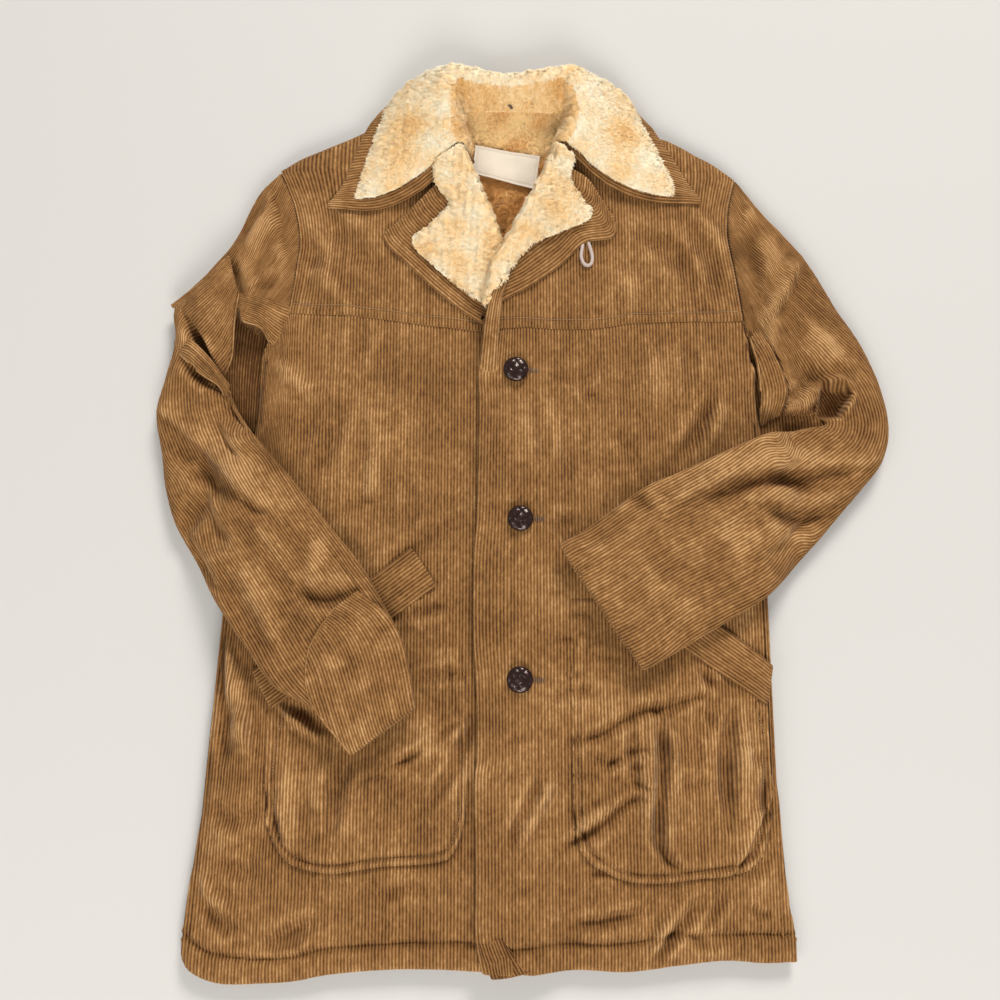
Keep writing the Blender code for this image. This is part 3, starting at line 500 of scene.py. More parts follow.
def press(x, y, z, places, level, target, soft):
    """Cloth pressed down to a height inside an outline."""
    pts = np.array([at(px, py, level) for px, py in places])
    best = np.full(x.shape, 1e12)
    for a, b in zip(pts, np.roll(pts, -1, 0)):
        d = b - a
        t = np.clip(((x - a[0]) * d[0] + (y - a[1]) * d[1]) / (d @ d), 0, 1)
        best = np.minimum(best, (x - a[0] - t * d[0]) ** 2 + (y - a[1] - t * d[1]) ** 2)
    m = step(np.sqrt(best) / soft) * in_shape(x, y, pts)
    return z + (np.minimum(z, target) - z) * m, m


def creases(x, y, table, level, slim=1.0):
    """Height that the listed creases add, and a colour shift from -1 in a trough to 1 on a ridge: painted shade in the
    troughs, painted highlight on the ridges.
    """
    z, tone_and_shade = np.zeros(x.shape), np.zeros(x.shape)
    for kind, deep, wide, places in table:
        pts = np.array([at(px, py, level) for px, py in places])
        lo, hi = pts.min(0) - 4.5 * wide, pts.max(0) + 4.5 * wide
        m = (x > lo[0]) & (x < hi[0]) & (y > lo[1]) & (y < hi[1])
        if not m.any():
            continue
        d, s, side = line_field(x[m], y[m], pts)
        fade = 0.25 + 0.75 * step(s / 0.3) * step((1 - s) / 0.3)
        fade = fade * (1 + 0.25 * wobble(x[m], y[m], 30, 5))
        w = slim * wide * (0.75 + 0.5 * np.sin(math.pi * np.clip(s, 0, 1)))
        deep = deep * (1.0 if slim == 1 else min(1.0, 0.21 * slim * wide))  # a narrow crease is shallow
        if kind == "v":
            form = -np.exp(-((d / w) ** 2)) + 0.5 * np.exp(-(((d - 1.75 * w) / w) ** 2))
        elif kind == "r":
            form = np.exp(-((d / w) ** 2)) - 0.2 * np.exp(-(((d - 2.0 * w) / w) ** 2))
        else:
            q = d * side / w
            form = np.where(q > 0, np.exp(-((q / 1.7) ** 2)), 1.9 * np.exp(-((q / 0.62) ** 2)) - 0.9 * np.exp(-((q / 1.5) ** 2)))
        z[m] += deep * fade * form
        # painted shade in the troughs and painted highlight on the ridges
        tone_and_shade[m] += np.clip(deep / 5, 0.3, 1) * fade * np.where(form < 0, 0.55, 1.7) * form
    return z, np.clip(tone_and_shade, -1, 1)


# ---- meshes ----
def grid_normals(G, up):
    n = np.cross(np.gradient(G, axis=0), np.gradient(G, axis=1))
    turned = np.sum(n[..., 2]) * up < 0
    n = -n if turned else n
    size = np.linalg.norm(n, axis=-1, keepdims=True)
    return np.where(size > 1e-7, n / np.maximum(size, 1e-7), np.array([0, 0, float(up)])), turned


def rib_of(phase):
    c = np.cos(2 * math.pi * phase)
    return np.sign(c) * np.abs(c) ** 0.8


def quads_of(ids):
    a, b, c, d = ids[:-1, :-1], ids[1:, :-1], ids[1:, 1:], ids[:-1, 1:]
    return np.stack([a, b, c, d], -1).reshape(-1, 4)


def shell(G, phase, run, up=1, rib=RIB, rim=1.5, tuck=5.0, tone_and_shade=None, ribs=None):
    """A cloth shell from a grid: wales raised along it, and its edge rolled under all round."""
    m, n = G.shape[:2]
    N, turned = grid_normals(G, up)
    phase = np.broadcast_to(phase if np.ndim(phase) == 2 else np.asarray(phase)[:, None], (m, n))
    run = np.broadcast_to(run, (m, n))
    amp = rib * (1 + 0.14 * np.sin(np.round(phase) * 12.9898) + 0.12 * wobble(G[..., 0], G[..., 1], 22, 3))
    if ribs is not None:
        amp = amp * ribs
    P = G + N * (rib_of(phase) * amp)[..., None]
    tone_and_shade = np.zeros((m, n)) if tone_and_shade is None else np.broadcast_to(tone_and_shade, (m, n))
    ids = np.arange(m * n).reshape(m, n)
    quads = quads_of(ids)
    loop = [(i, 0) for i in range(m)] + [(m - 1, j) for j in range(1, n)]
    loop += [(i, n - 1) for i in range(m - 2, -1, -1)] + [(0, j) for j in range(n - 2, 0, -1)]
    if turned:
        quads, loop = quads[:, ::-1], loop[::-1]
    li, lj = np.array(loop).T
    base, nb = G[li, lj], N[li, lj]
    tang = np.roll(base, -3, 0) - np.roll(base, 3, 0)
    out = np.cross(tang, nb)
    size = np.linalg.norm(out, axis=1, keepdims=True)
    out = np.where(size > 1e-6, out / np.maximum(size, 1e-6), 0)
    edge = (P - G)[li, lj]
    turn = np.where(li == 0, -1.0, np.where(li == m - 1, 1.0, 0.0)) * np.sign(phase[-1, 0] - phase[0, 0])
    verts, uvs, tones = [P.reshape(-1, 3)], [np.stack([phase, run], -1).reshape(-1, 2)], [tone_and_shade.reshape(-1)]
    prev, count, faces = ids[li, lj], m * n, [quads]
    stops = [(rim * math.sin(a), rim * (1 - math.cos(a)), max(0.0, 1 - k * 0.3), rim * a) for k, a in
             enumerate((math.pi * 0.28, math.pi * 0.5, math.pi * 0.72, math.pi))] + [(-tuck, 2 * rim, 0.0, rim * math.pi + tuck)]
    for o, d, keep, arc in stops:
        verts.append(base + out * o - nb * d + edge * keep)
        uvs.append(np.stack([phase[li, lj] + turn * arc / WALE, run[li, lj] + 0.001 * arc * (turn == 0)], -1))
        # the rolled edge is lightened: painted highlight where it turns to the light
        tones.append(tone_and_shade[li, lj] + (0.35 if d < rim * 1.05 else 0.0))
        now = np.arange(count, count + len(loop))
        faces.append(np.stack([prev, now, np.roll(now, -1), np.roll(prev, -1)], -1))
        prev, count = now, count + len(loop)
    return [np.vstack(verts), np.vstack(faces), np.vstack(uvs), np.concatenate(tones)]


def put(name, parts, mat, clean=True, normals=None, at_row=True):
    """One mesh object from shells (points, faces of four, wale coordinates, tone)."""
    verts, faces, uvs, tones, base = [], [], [], [], 0
    for v, f, uv, tn in parts:
        verts.append(v)
        faces.append(f + base)
        uvs.append(uv)
        tones.append(tn)
        base += len(v)
    v, f, uv, tn = np.vstack(verts), np.vstack(faces), np.vstack(uvs), np.concatenate(tones)
    v = to_row(v) if at_row else v
    v[:, 2] = np.maximum(v[:, 2], 0.0002)  # nothing below the floor it lies on
    me = bpy.data.meshes.new(name)
    me.vertices.add(len(v))
    me.vertices.foreach_set("co", v.astype(np.float32).ravel())
    if f.shape[1] == 4:  # a repeated last corner is a triangle
        tri = f[:, 3] == f[:, 2]
        sizes = np.where(tri, 3, 4)
        loops = f.ravel()[(np.arange(f.size) % 4 != 3) | ~np.repeat(tri, 4)]
    else:
        sizes, loops = np.full(len(f), 3), f.ravel()
    me.loops.add(len(loops))
    me.loops.foreach_set("vertex_index", loops.astype(np.int32))
    me.polygons.add(len(f))
    me.polygons.foreach_set("loop_start", np.concatenate([[0], np.cumsum(sizes)[:-1]]).astype(np.int32))
    me.polygons.foreach_set("use_smooth", np.ones(len(f), bool))
    me.uv_layers.new(name="wale").data.foreach_set("uv", uv[loops].astype(np.float32).ravel())
    me.attributes.new("tone_and_shade", "FLOAT", "POINT").data.foreach_set("value", tn.astype(np.float32))
    me.update(calc_edges=True)
    if clean:
        bm = bmesh.new()
        bm.from_mesh(me)
        bmesh.ops.remove_doubles(bm, verts=bm.verts, dist=2e-6)
        bmesh.ops.dissolve_degenerate(bm, dist=1e-6, edges=bm.edges)
        bm.to_mesh(me)
        bm.free()
    me.validate()
    if normals is not None:
        me.normals_split_custom_set_from_vertices(normals)
    me.materials.append(mat)
    ob = bpy.data.objects.new(name, me)
    bpy.context.scene.collection.objects.link(ob)
    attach(ob, "root")
    return ob


# ---- materials ----
def nodes_of(name):
    m = bpy.data.materials.new(name)
    m.use_nodes = True
    return m, m.node_tree, m.node_tree.nodes["Principled BSDF"]


def math_node(t, op, a, b=None, clamp=False):
    n = t.nodes.new("ShaderNodeMath")
    n.operation, n.use_clamp = op, clamp
    for k, q in enumerate((a, b)):
        if q is None:
            continue
        if isinstance(q, (int, float)):
            n.inputs[k].default_value = q
        else:
            t.links.new(q, n.inputs[k])
    return n.outputs[0]


def mix_colour(t, f, a, b):
    n = t.nodes.new("ShaderNodeMix")
    n.data_type = "RGBA"
    for sock, q in ((n.inputs[0], f), (n.inputs[6], a), (n.inputs[7], b)):
        if isinstance(q, (int, float)):
            sock.default_value = q
        elif isinstance(q, tuple):
            sock.default_value = (*q, 1.0)
        else:
            t.links.new(q, sock)
    return n.outputs[2]


def noise_node(t, vector, scale, detail=3.0, rough=0.55):
    n = t.nodes.new("ShaderNodeTexNoise")
    n.inputs["Scale"].default_value, n.inputs["Detail"].default_value = scale, detail
    n.inputs["Roughness"].default_value = rough
    if vector is not None:
        t.links.new(vector, n.inputs["Vector"])
    return n.outputs["Fac"]


def attribute(t, name):
    n = t.nodes.new("ShaderNodeAttribute")
    n.attribute_name = name
    return n.outputs["Fac"]


def bump(t, b, height, distance, strength):
    n = t.nodes.new("ShaderNodeBump")
    n.inputs["Distance"].default_value, n.inputs["Strength"].default_value = distance, strength
    t.links.new(height, n.inputs["Height"])
    t.links.new(n.outputs["Normal"], b.inputs["Normal"])


def corduroy(name, groove, ridge, worn):
    """Cut pile wales: dark between, partly the cloth's own colour and partly painted shade in the grooves; worn lighter
    on top, with nap streaks, mottling and single odd wales; the mesh's colour shift adds painted shade and painted
    highlight.
    """
    m, t, b = nodes_of(name)
    uv = t.nodes.new("ShaderNodeUVMap")
    uv.uv_map = "wale"
    sep = t.nodes.new("ShaderNodeSeparateXYZ")
    t.links.new(uv.outputs[0], sep.inputs[0])
    count, run = sep.outputs[0], sep.outputs[1]
    top = math_node(t, "COSINE", math_node(t, "MULTIPLY", count, 2 * math.pi))
    top = math_node(t, "ADD", math_node(t, "MULTIPLY", top, 0.5), 0.5)
    each = t.nodes.new("ShaderNodeTexWhiteNoise")
    each.noise_dimensions = "1D"
    t.links.new(math_node(t, "ROUND", count), each.inputs["W"])
    streak_at = t.nodes.new("ShaderNodeCombineXYZ")
    t.links.new(count, streak_at.inputs[0])
    t.links.new(math_node(t, "MULTIPLY", run, 140.0), streak_at.inputs[1])
    streak = noise_node(t, streak_at.outputs[0], 0.9, 3.0, 0.65)
    place = t.nodes.new("ShaderNodeTexCoord").outputs["Object"]
    mottle = noise_node(t, place, 13.0, 4.0, 0.6)
    blotch = noise_node(t, place, 46.0, 4.0, 0.62)
    fibre = noise_node(t, place, 2600.0, 2.0, 0.6)
    f = math_node(t, "ADD", math_node(t, "MULTIPLY", top, 0.56), 0.15)
    f = math_node(t, "ADD", f, math_node(t, "MULTIPLY", math_node(t, "SUBTRACT", streak, 0.5), 0.85))
    f = math_node(t, "ADD", f, math_node(t, "MULTIPLY", math_node(t, "SUBTRACT", mottle, 0.5), 0.48))
    f = math_node(t, "ADD", f, math_node(t, "MULTIPLY", math_node(t, "SUBTRACT", blotch, 0.5), 0.55))
    f = math_node(t, "ADD", f, math_node(t, "MULTIPLY", math_node(t, "SUBTRACT", each.outputs["Value"], 0.5), 0.14))
    # the mesh's colour shift: painted shade in creases, hollows and seams, painted highlight on ridges and rolled
    # edges, besides colour that differs at random
    f = math_node(t, "ADD", f, math_node(t, "MULTIPLY", attribute(t, "tone_and_shade"), 0.26), clamp=True)
    base = mix_colour(t, f, groove, ridge)
    # the lightest places go towards the worn colour: real wear on the crests, painted highlight on ridges and rolled
    # edges
    rub_and_highlight = math_node(t, "MULTIPLY", math_node(t, "SUBTRACT", f, 0.72), 2.2, clamp=True)
    base = mix_colour(t, math_node(t, "MULTIPLY", rub_and_highlight, 0.8), base, worn)
    t.links.new(base, b.inputs["Base Color"])
    b.inputs["Roughness"].default_value = 0.92
    b.inputs["Specular IOR Level"].default_value = 0.12
    b.inputs["Sheen Weight"].default_value = 0.16
    b.inputs["Sheen Roughness"].default_value = 0.45
    b.inputs["Sheen Tint"].default_value = (1.0, 0.78, 0.56, 1.0)
    both = math_node(t, "ADD", math_node(t, "MULTIPLY", streak, 0.6), math_node(t, "MULTIPLY", fibre, 0.7))
    bump(t, b, both, 0.0006, 0.55)
    return m


def pile_material(name, deep, mid, pale):
    m, t, b = nodes_of(name)
    place = t.nodes.new("ShaderNodeTexCoord").outputs["Object"]
    # the mesh's colour shift: painted shade in the collar's fold, under the bed and at the roots, painted highlight at
    # the tips and rolled edges, besides the pile's own colour
    tint = attribute(t, "tone_and_shade")
    patchy = noise_node(t, place, 22.0, 4.0, 0.6)
    f = math_node(t, "ADD", tint, math_node(t, "MULTIPLY", math_node(t, "SUBTRACT", patchy, 0.5), 0.6), clamp=True)
    low = math_node(t, "MULTIPLY", f, 2.0, clamp=True)
    high = math_node(t, "SUBTRACT", math_node(t, "MULTIPLY", f, 2.0), 1.0, clamp=True)
    t.links.new(mix_colour(t, high, mix_colour(t, low, deep, mid), pale), b.inputs["Base Color"])
    b.inputs["Roughness"].default_value = 0.9
    b.inputs["Specular IOR Level"].default_value = 0.15
    b.inputs["Sheen Weight"].default_value = 0.30
    b.inputs["Sheen Roughness"].default_value = 0.4
    b.inputs["Sheen Tint"].default_value = (1.0, 0.90, 0.72, 1.0)
    bump(t, b, noise_node(t, place, 700.0, 4.0, 0.7), 0.0012, 0.6)
    return m


def leather_material():
    m, t, b = nodes_of("woven_leather")
    place = t.nodes.new("ShaderNodeTexCoord").outputs["Object"]
    grain = noise_node(t, place, 900.0, 4.0, 0.6)
    worn = noise_node(t, place, 160.0, 3.0, 0.6)
    f = math_node(t, "ADD", attribute(t, "tone_and_shade"), math_node(t, "MULTIPLY", math_node(t, "SUBTRACT", worn, 0.5), 0.6), clamp=True)
    t.links.new(mix_colour(t, f, (0.004, 0.002, 0.002), (0.022, 0.008, 0.007)), b.inputs["Base Color"])
    t.links.new(math_node(t, "ADD", math_node(t, "MULTIPLY", grain, 0.22), 0.10), b.inputs["Roughness"])
    b.inputs["Specular IOR Level"].default_value = 0.42
    b.inputs["Specular Tint"].default_value = (1.0, 0.82, 0.74, 1.0)
    b.inputs["Coat Weight"].default_value = 0.12
    b.inputs["Coat Roughness"].default_value = 0.22
    bump(t, b, grain, 0.0003, 0.35)
    return m


def thread_material(name, colour, other, scale):
    m, t, b = nodes_of(name)
    place = t.nodes.new("ShaderNodeTexCoord").outputs["Object"]
    wave = noise_node(t, place, scale, 3.0, 0.6)
    t.links.new(mix_colour(t, wave, colour, other), b.inputs["Base Color"])
    b.inputs["Roughness"].default_value = 0.7
    b.inputs["Sheen Weight"].default_value = 0.25
    bump(t, b, wave, 0.0003, 0.5)
    return m


# groove, ridge and worn colours: the groove colour is partly painted shade between the wales, the worn colour partly
# painted highlight
CORD = corduroy("corduroy_tan", (0.062, 0.023, 0.0055), (0.394, 0.199, 0.068), (0.64, 0.42, 0.21))
PILE_MAT = pile_material("pile_cream", (0.78, 0.43, 0.14), (0.97, 0.70, 0.36), (0.99, 0.92, 0.71))
LINING_MAT = pile_material("pile_honey", (0.50, 0.20, 0.050), (0.70, 0.35, 0.11), (0.93, 0.65, 0.30))
LEATHER = leather_material()
THREAD = thread_material("thread_tan", (0.20, 0.105, 0.04), (0.42, 0.26, 0.12), 1200.0)
DARK_THREAD = thread_material("thread_brown", (0.07, 0.032, 0.012), (0.15, 0.08, 0.03), 1200.0)
CORD_MAT = thread_material("cord_pale", (0.36, 0.265, 0.235), (0.56, 0.465, 0.42), 1500.0)
LABEL_MAT = thread_material("label_weave", (0.56, 0.48, 0.38), (0.72, 0.64, 0.53), 2200.0)


# ---- the cloth of the body ----
HEM_LINE = [at(px, py, 17.0) for px, py in HEM_SEAM]
LAID = []
DEEP = 1.75  # how far the creases are carried


def cloth(x, y, left):
    """Height and colour shift of a front or yoke, with its creases; the colour shift holds painted shade and painted
    highlight.
    """
    base = left_top(x, y) if left else body_top(x, y)
    side = np.minimum(x - along(SIDE_R_F, y, 1, 0), along(SIDE_L_F, y, 1, 0) - x) + 60 * step((y - 320) / 40)
    up = y - along(HEM_F, x)
    hold = 0.2 + 0.8 * step(side / 22) * step(up / 14)
    c, tone_and_shade = creases(x, y, BODY_CREASES, 20.0, 0.8)
    near_edge = step((x + 24) / 30) if left else 1.0
    z = base + DEEP * c * hold * (0.4 + 0.6 * near_edge)
    z = z + 1.5 * wobble(x, y, 46, 21) * hold + 0.75 * wobble(x, y, 19, 22) * hold
    d, s, q = line_field(x, y, HEM_LINE)
    sewn = step(side / 10)
    z = z + sewn * (-3.4 * np.exp(-((d / 2.3) ** 2)) + 1.2 * np.exp(-(((d - 6) / 4) ** 2)))
    z = z + 1.6 * sewn * np.exp(-(((up - 9) / 7) ** 2)) * (1 + 0.5 * wobble(x, y, 34, 24))
    # painted shade in the sewn hem groove and painted highlight along the hem's edge, with the creases' painted shade
    # and highlight and colour that differs at random
    return z, tone_and_shade + 0.22 * wobble(x, y, 60, 23) - 0.5 * np.exp(-((d / 2.6) ** 2)) + 0.3 * np.exp(-((up / 6) ** 2))


def spaced(y0, y1, rows, pace):
    """Rows from one height to another: close together at the sewn lower edge, wider apart above."""
    d = np.linspace(0, y1 - y0, 300)
    gap = np.interp(d, *pace)
    t = np.concatenate([[0], np.cumsum(np.diff(d) * 2 / (gap[1:] + gap[:-1]))])
    return y0 + np.interp(np.linspace(0, t[-1], rows), t, d)


FRONT_PACE = ((0, 40, 60, 300, 360, 700), (2.3, 2.3, 4.4, 4.4, 8.5, 8.5))
YOKE_PACE = ((0, 14, 24, 400), (1.8, 1.8, 7.0, 7.0))
POCKET_PACE = ((0, 18, 26, 400), (1.7, 1.7, 4.2, 4.2))


def columns(xs, bottom, top, inside, rows, lean=None, pace=FRONT_PACE):
    """A grid whose columns follow the wales: each runs from the bottom line up to the top line or out at the side."""
    G = np.zeros((len(xs), rows, 2))
    for i, s in enumerate(xs):
        y0 = float(bottom(s))
        ys = np.linspace(y0, float(top(s)), 420)
        X = s + (lean(s, ys) if lean else 0 * ys)
        ok = inside(X, ys)
        last = np.argmin(ok) if not ok.all() else len(ys)
        y1 = ys[max(last - 1, 1)]
        v = spaced(y0, y1, rows, pace)
        G[i] = np.stack([s + (lean(s, v) if lean else 0 * v), v], -1)
    return G


def lift(G, z):
    return np.concatenate([G, z[..., None]], -1)


def build_fronts():
    rows = 111
    # wearer's right, photo left
    xs = np.arange(22.0, -297.6, -COL)
    bend = lambda s, y: 0.05 * step((-205 - s) / 80) * (y - along(HEM_F, s))
    plan = columns(xs, lambda s: along(HEM_F, s) + 1.5, lambda s: along(YOKE_RIGHT, np.clip(s, -218, 24)) + 3,
                   lambda X, y: X > along(SIDE_R_F, y, 1, 0) + 1.2, rows, bend)
    z, tone_and_shade = cloth(plan[..., 0], plan[..., 1], False)
    z = z - 1.6 * step((plan[..., 1] - (along(YOKE_RIGHT, plan[..., 0]) - 5)) / 5)
    # the cloth dips beside the pocket's edge and is darkened there: painted shadow
    pocket_edge_dip_and_shade = np.exp(-((line_field(plan[..., 0], plan[..., 1], pocket_path(POCKET_RIGHT, False))[0] / 3.2) ** 2))
    pocket_edge_dip_and_shade = pocket_edge_dip_and_shade * (0.12 + 0.88 * step((-15 - plan[..., 1]) / 70))
    z, tone_and_shade = z - 1.2 * pocket_edge_dip_and_shade, tone_and_shade - 0.6 * pocket_edge_dip_and_shade
    G = lift(plan, z)
    right = put("front_right_cloth", [shell(G, xs / WALE, G[..., 1] * 0.001, tone_and_shade=tone_and_shade, rim=1.7, tuck=6)], CORD)
    LAID.append(G[::3, ::2].reshape(-1, 3))
    # wearer's left, over it
    xs = np.arange(-21.5, 275.8, COL)
    swing = lambda s, y: (along(fine(FRONT_EDGE), y, 1, 0) + 21.5) * (1 - step((s + 21.5) / 45))
    plan = columns(xs, lambda s: along(HEM_F, s) + 1.5, lambda s: along(YOKE_LEFT, np.clip(s, -14, 250)) + 3,
                   lambda X, y: X < along(SIDE_L_F, y, 1, 0) - 1.2, rows, swing)
    z, tone_and_shade = cloth(plan[..., 0], plan[..., 1], True)
    z = z - 1.6 * step((plan[..., 1] - (along(YOKE_LEFT, plan[..., 0]) - 5)) / 5)
    # the cloth dips beside the pocket's edge and is darkened there: painted shadow
    pocket_edge_dip_and_shade = np.exp(-((line_field(plan[..., 0], plan[..., 1], pocket_path(POCKET_LEFT, True))[0] / 3.2) ** 2))
    pocket_edge_dip_and_shade = pocket_edge_dip_and_shade * (0.12 + 0.88 * step((-15 - plan[..., 1]) / 70))
    z, tone_and_shade = z - 1.2 * pocket_edge_dip_and_shade, tone_and_shade - 0.6 * pocket_edge_dip_and_shade
    fold = np.exp(-(((plan[..., 0] + 14) / 8) ** 2))
    z = z + 1.1 * fold - 1.0 * np.exp(-(((plan[..., 0] + 3) / 5) ** 2))
    # the hem corner turns up a little
    dx, dy = plan[..., 0] - 5, plan[..., 1] + 232
    z = z + 3.5 * np.exp(-((dx / 16) ** 2 + (dy / 14) ** 2)) - 3.0 * np.exp(-((dx + dy * 0.6 - 12) / 5) ** 2) * np.exp(-((dy / 22) ** 2))
    G = lift(plan, z)
    low = lambda x, y: float(left_top(np.array([x]), np.array([y]))[0])
    corner = flap(over_cloth(low, [(479, 944, 1.2), (502, 941, 1.0)]), over_cloth(low, [(492, 979, 2.6), (509, 977, 2.6), (529, 972, 1.6)]),
                  over_cloth(low, [(479, 944, 1.2), (485, 962, 2.4), (492, 979, 2.6)]),
                  over_cloth(low, [(502, 941, 1.0), (512, 955, 1.8), (529, 972, 1.6)]), 1.2, 30, 98, rim=1.5, tuck=4, fan=0.4, tone_and_shade=-0.45)
    left = put("front_left_cloth", [shell(G, xs / WALE, G[..., 1] * 0.001, tone_and_shade=tone_and_shade, rim=2.2, tuck=7), corner], CORD)
    LAID.append(G[::3, ::2].reshape(-1, 3))
    return right, left


def build_yokes():
    made = []
    for left in (False, True):
        yoke, roll, arm = (YOKE_LEFT, ROLL_LEFT, ARM_LEFT) if left else (YOKE_RIGHT, ROLL_RIGHT, ARM_RIGHT)
        sign = 1 if left else -1
        arm_f, roll_f = fine(arm), fine(roll)
        end = 244.0 if left else -214.0
        start = -12.0 if left else 22.0
        xs = np.arange(start, end + sign * 0.1, sign * COL)
        bend = lambda s, y: step((sign * s - sign * end + 70) / 70) * (along(arm_f, y, 1, 0) - end) - sign * 0.6 * step((sign * (s - end) + 8) / 8)
        shoulder = lambda s: along(SHOULDER_F, s + bend(s, np.array([552.0]))[0]) - 2.0
        inner = lambda s: along(roll_f, s) if sign * s > -60 and (s < 80 if left else s > -54) else 1e9
        top = lambda s: max(min(float(shoulder(s)), float(inner(s))), float(along(yoke, s)) + 4)
        plan = columns(xs, lambda s: along(yoke, s) + 0.6, top, lambda X, y: X == X, 44, bend, YOKE_PACE)
        x, y = plan[..., 0], plan[..., 1]
        z, tone_and_shade = cloth(x, y, left)
        low = y - along(yoke, x)
        z = z + 0.7 - 0.9 * np.exp(-(((low - 9.5) / 1.6) ** 2)) + 0.5 * np.exp(-(((low - 4.5) / 3.0) ** 2))
        G = lift(plan, z)
        made.append(put("yoke_left_cloth" if left else "yoke_right_cloth", [shell(G, xs / WALE + 0.37, G[..., 1] * 0.001, tone_and_shade=tone_and_shade, rim=1.4, tuck=4)], CORD))
        LAID.append(G[::3, ::2].reshape(-1, 3))
    return made


def build_back():
    """The back lies face down; its sides come up to meet the fronts."""
    xs = np.arange(-296.5, 275.0, WALE / 2)
    side_r = np.vstack([SIDE_R_F, fine(ARM_RIGHT)])
    side_l = np.vstack([SIDE_L_F, fine(ARM_LEFT)])
    rows = 24
    G = np.zeros((len(xs), rows, 2))
    for i, s in enumerate(xs):
        ys = np.linspace(float(along(HEM_F, s)) + 2, float(along(SHOULDER_F, np.clip(s, -233, 249))) - 3, 500)
        ok = (s > along(side_r, ys, 1, 0) + 2) & (s < along(side_l, ys, 1, 0) - 2)
        y1 = ys[max((np.argmin(ok) if not ok.all() else len(ys)) - 1, 1)]
        G[i] = np.stack([np.full(rows, s), np.linspace(ys[0], y1, rows)], -1)
    x, y = G[..., 0], G[..., 1]
    d = np.minimum(np.minimum(x - along(side_r, y, 1, 0), along(side_l, y, 1, 0) - x),
                   np.minimum(y - along(HEM_F, x), along(SHOULDER_F, np.clip(x, -233, 249)) - y))
    z = 0.9 + 6.5 * (1 - quarter(d, 14.0)) + 0.25 * (1 + wobble(x, y, 60, 31))
    return put("back_cloth", [shell(lift(G, z), xs / WALE, y * 0.001, up=-1, rim=1.4, tuck=7, tone_and_shade=0.3 * wobble(x, y, 60, 33))], CORD)


def pipe_of(dist):
    """A corded edge: a ridge at the outline, a sewn groove inside it, cloth swelling after."""
    return 2.1 * np.exp(-(((dist - 2.4) / 2.2) ** 2)) - 2.2 * np.exp(-(((dist - 6.6) / 1.8) ** 2)) + 1.0 * np.exp(-(((dist - 12.0) / 4.5) ** 2))


def pocket_path(shape, left):
    """The sewn outline of a pocket, from the top of one side round to the other."""
    edge = sorted(shape["lower"], key=lambda q: q[0])
    first, last = (shape["inner"], shape["outer"]) if left else (shape["outer"], shape["inner"])
    return [first[2], first[1]] + edge + [last[1], last[2]]


def build_pockets():
    made = {}
    for side, shape, welt, left in (("right", POCKET_RIGHT, WELT_RIGHT, False), ("left", POCKET_LEFT, WELT_LEFT, True)):
        sgn = 1 if left else -1
        low = fine(shape["lower"][::sgn] if left else shape["lower"])
        lo_x, hi_x = (70.5, 259.0) if left else (-222.5, -33.5)
        a, b, c, d = [np.array(q, float) for q in welt]
        top_line = sorted([tuple(d + (a - d) * 0.25), tuple(c + (b - c) * 0.25)])
        slope = (top_line[1][1] - top_line[0][1]) / (top_line[1][0] - top_line[0][0])
        top = lambda s: top_line[0][1] + slope * (s - top_line[0][0])
        xs = np.arange(lo_x, hi_x, COL)
        rows = 70
        G = np.zeros((len(xs), rows, 2))
        inner_top = 118.0
        for i, s in enumerate(xs):
            G[i] = np.stack([np.full(rows, s), spaced(float(along(low, s)), min(top(s), inner_top), rows, POCKET_PACE)], -1)
        x, y = G[..., 0], G[..., 1]
        z, tone_and_shade = cloth(x, y, left)
        path = pocket_path(shape, left)
        dist, s, q = line_field(x, y, path)
        pipe = pipe_of(dist)
        # the inner side and the top melt into the front
        melt = step((-15 - y) / 70)
        z = z + 0.9 + 1.4 * melt + pipe * (0.35 + 0.65 * melt) - 4.5 * step((y - (inner_top - 9)) / 9)
        # the corded edge lighter on its ridge and darker in its sewn groove: painted highlight and painted shade
        made["pocket_" + side] = put("pocket_" + side + "_cloth", [shell(lift(G, z), xs / WALE, y * 0.001, tone_and_shade=tone_and_shade + 0.2 * pipe, rim=1.6, tuck=3)], CORD)
        made["path_" + side] = path
        # the welt, its wales along its length
        across = np.arange(0, np.linalg.norm(a - d) - 1.0, COL) / np.linalg.norm(a - d)
        long = -0.04 + 1.04 * evenly(48)
        W = np.array([[d + (c - d) * v + (a + (b - a) * v - d - (c - d) * v) * u for v in long] for u in across])
        zw, tw = cloth(W[..., 0], W[..., 1], left)
        zw = 0.5 * zw + 0.5 * zw.mean(0)[None, :] + 4.2
        puff = np.sin(math.pi * np.clip(across, 0, 1))[:, None] * np.sin(math.pi * np.clip(long * 0.92 + 0.04, 0, 1))[None, :]
        ends = np.abs(long - 0.075)[None, :]
        stitch = -1.1 * np.exp(-((ends * 190 / 1.8) ** 2)) - 1.1 * np.exp(-(((np.abs(long - 0.135))[None, :] * 190 / 1.8) ** 2))
        zw = zw + 2.0 * puff + stitch + 0.8 * wobble(W[..., 0], W[..., 1], 26, 41)
        made["welt_" + side] = put("welt_" + side + "_cloth", [shell(lift(W, zw), across * np.linalg.norm(a - d) / WALE, np.broadcast_to(long * 0.19, W.shape[:2]), tone_and_shade=tw, rim=1.6, tuck=3)], CORD)
        LAID.append(lift(W, zw + 0.6)[::3, ::2].reshape(-1, 3))
        LAID.append(lift(G, z)[::4, ::2].reshape(-1, 3))
    return made


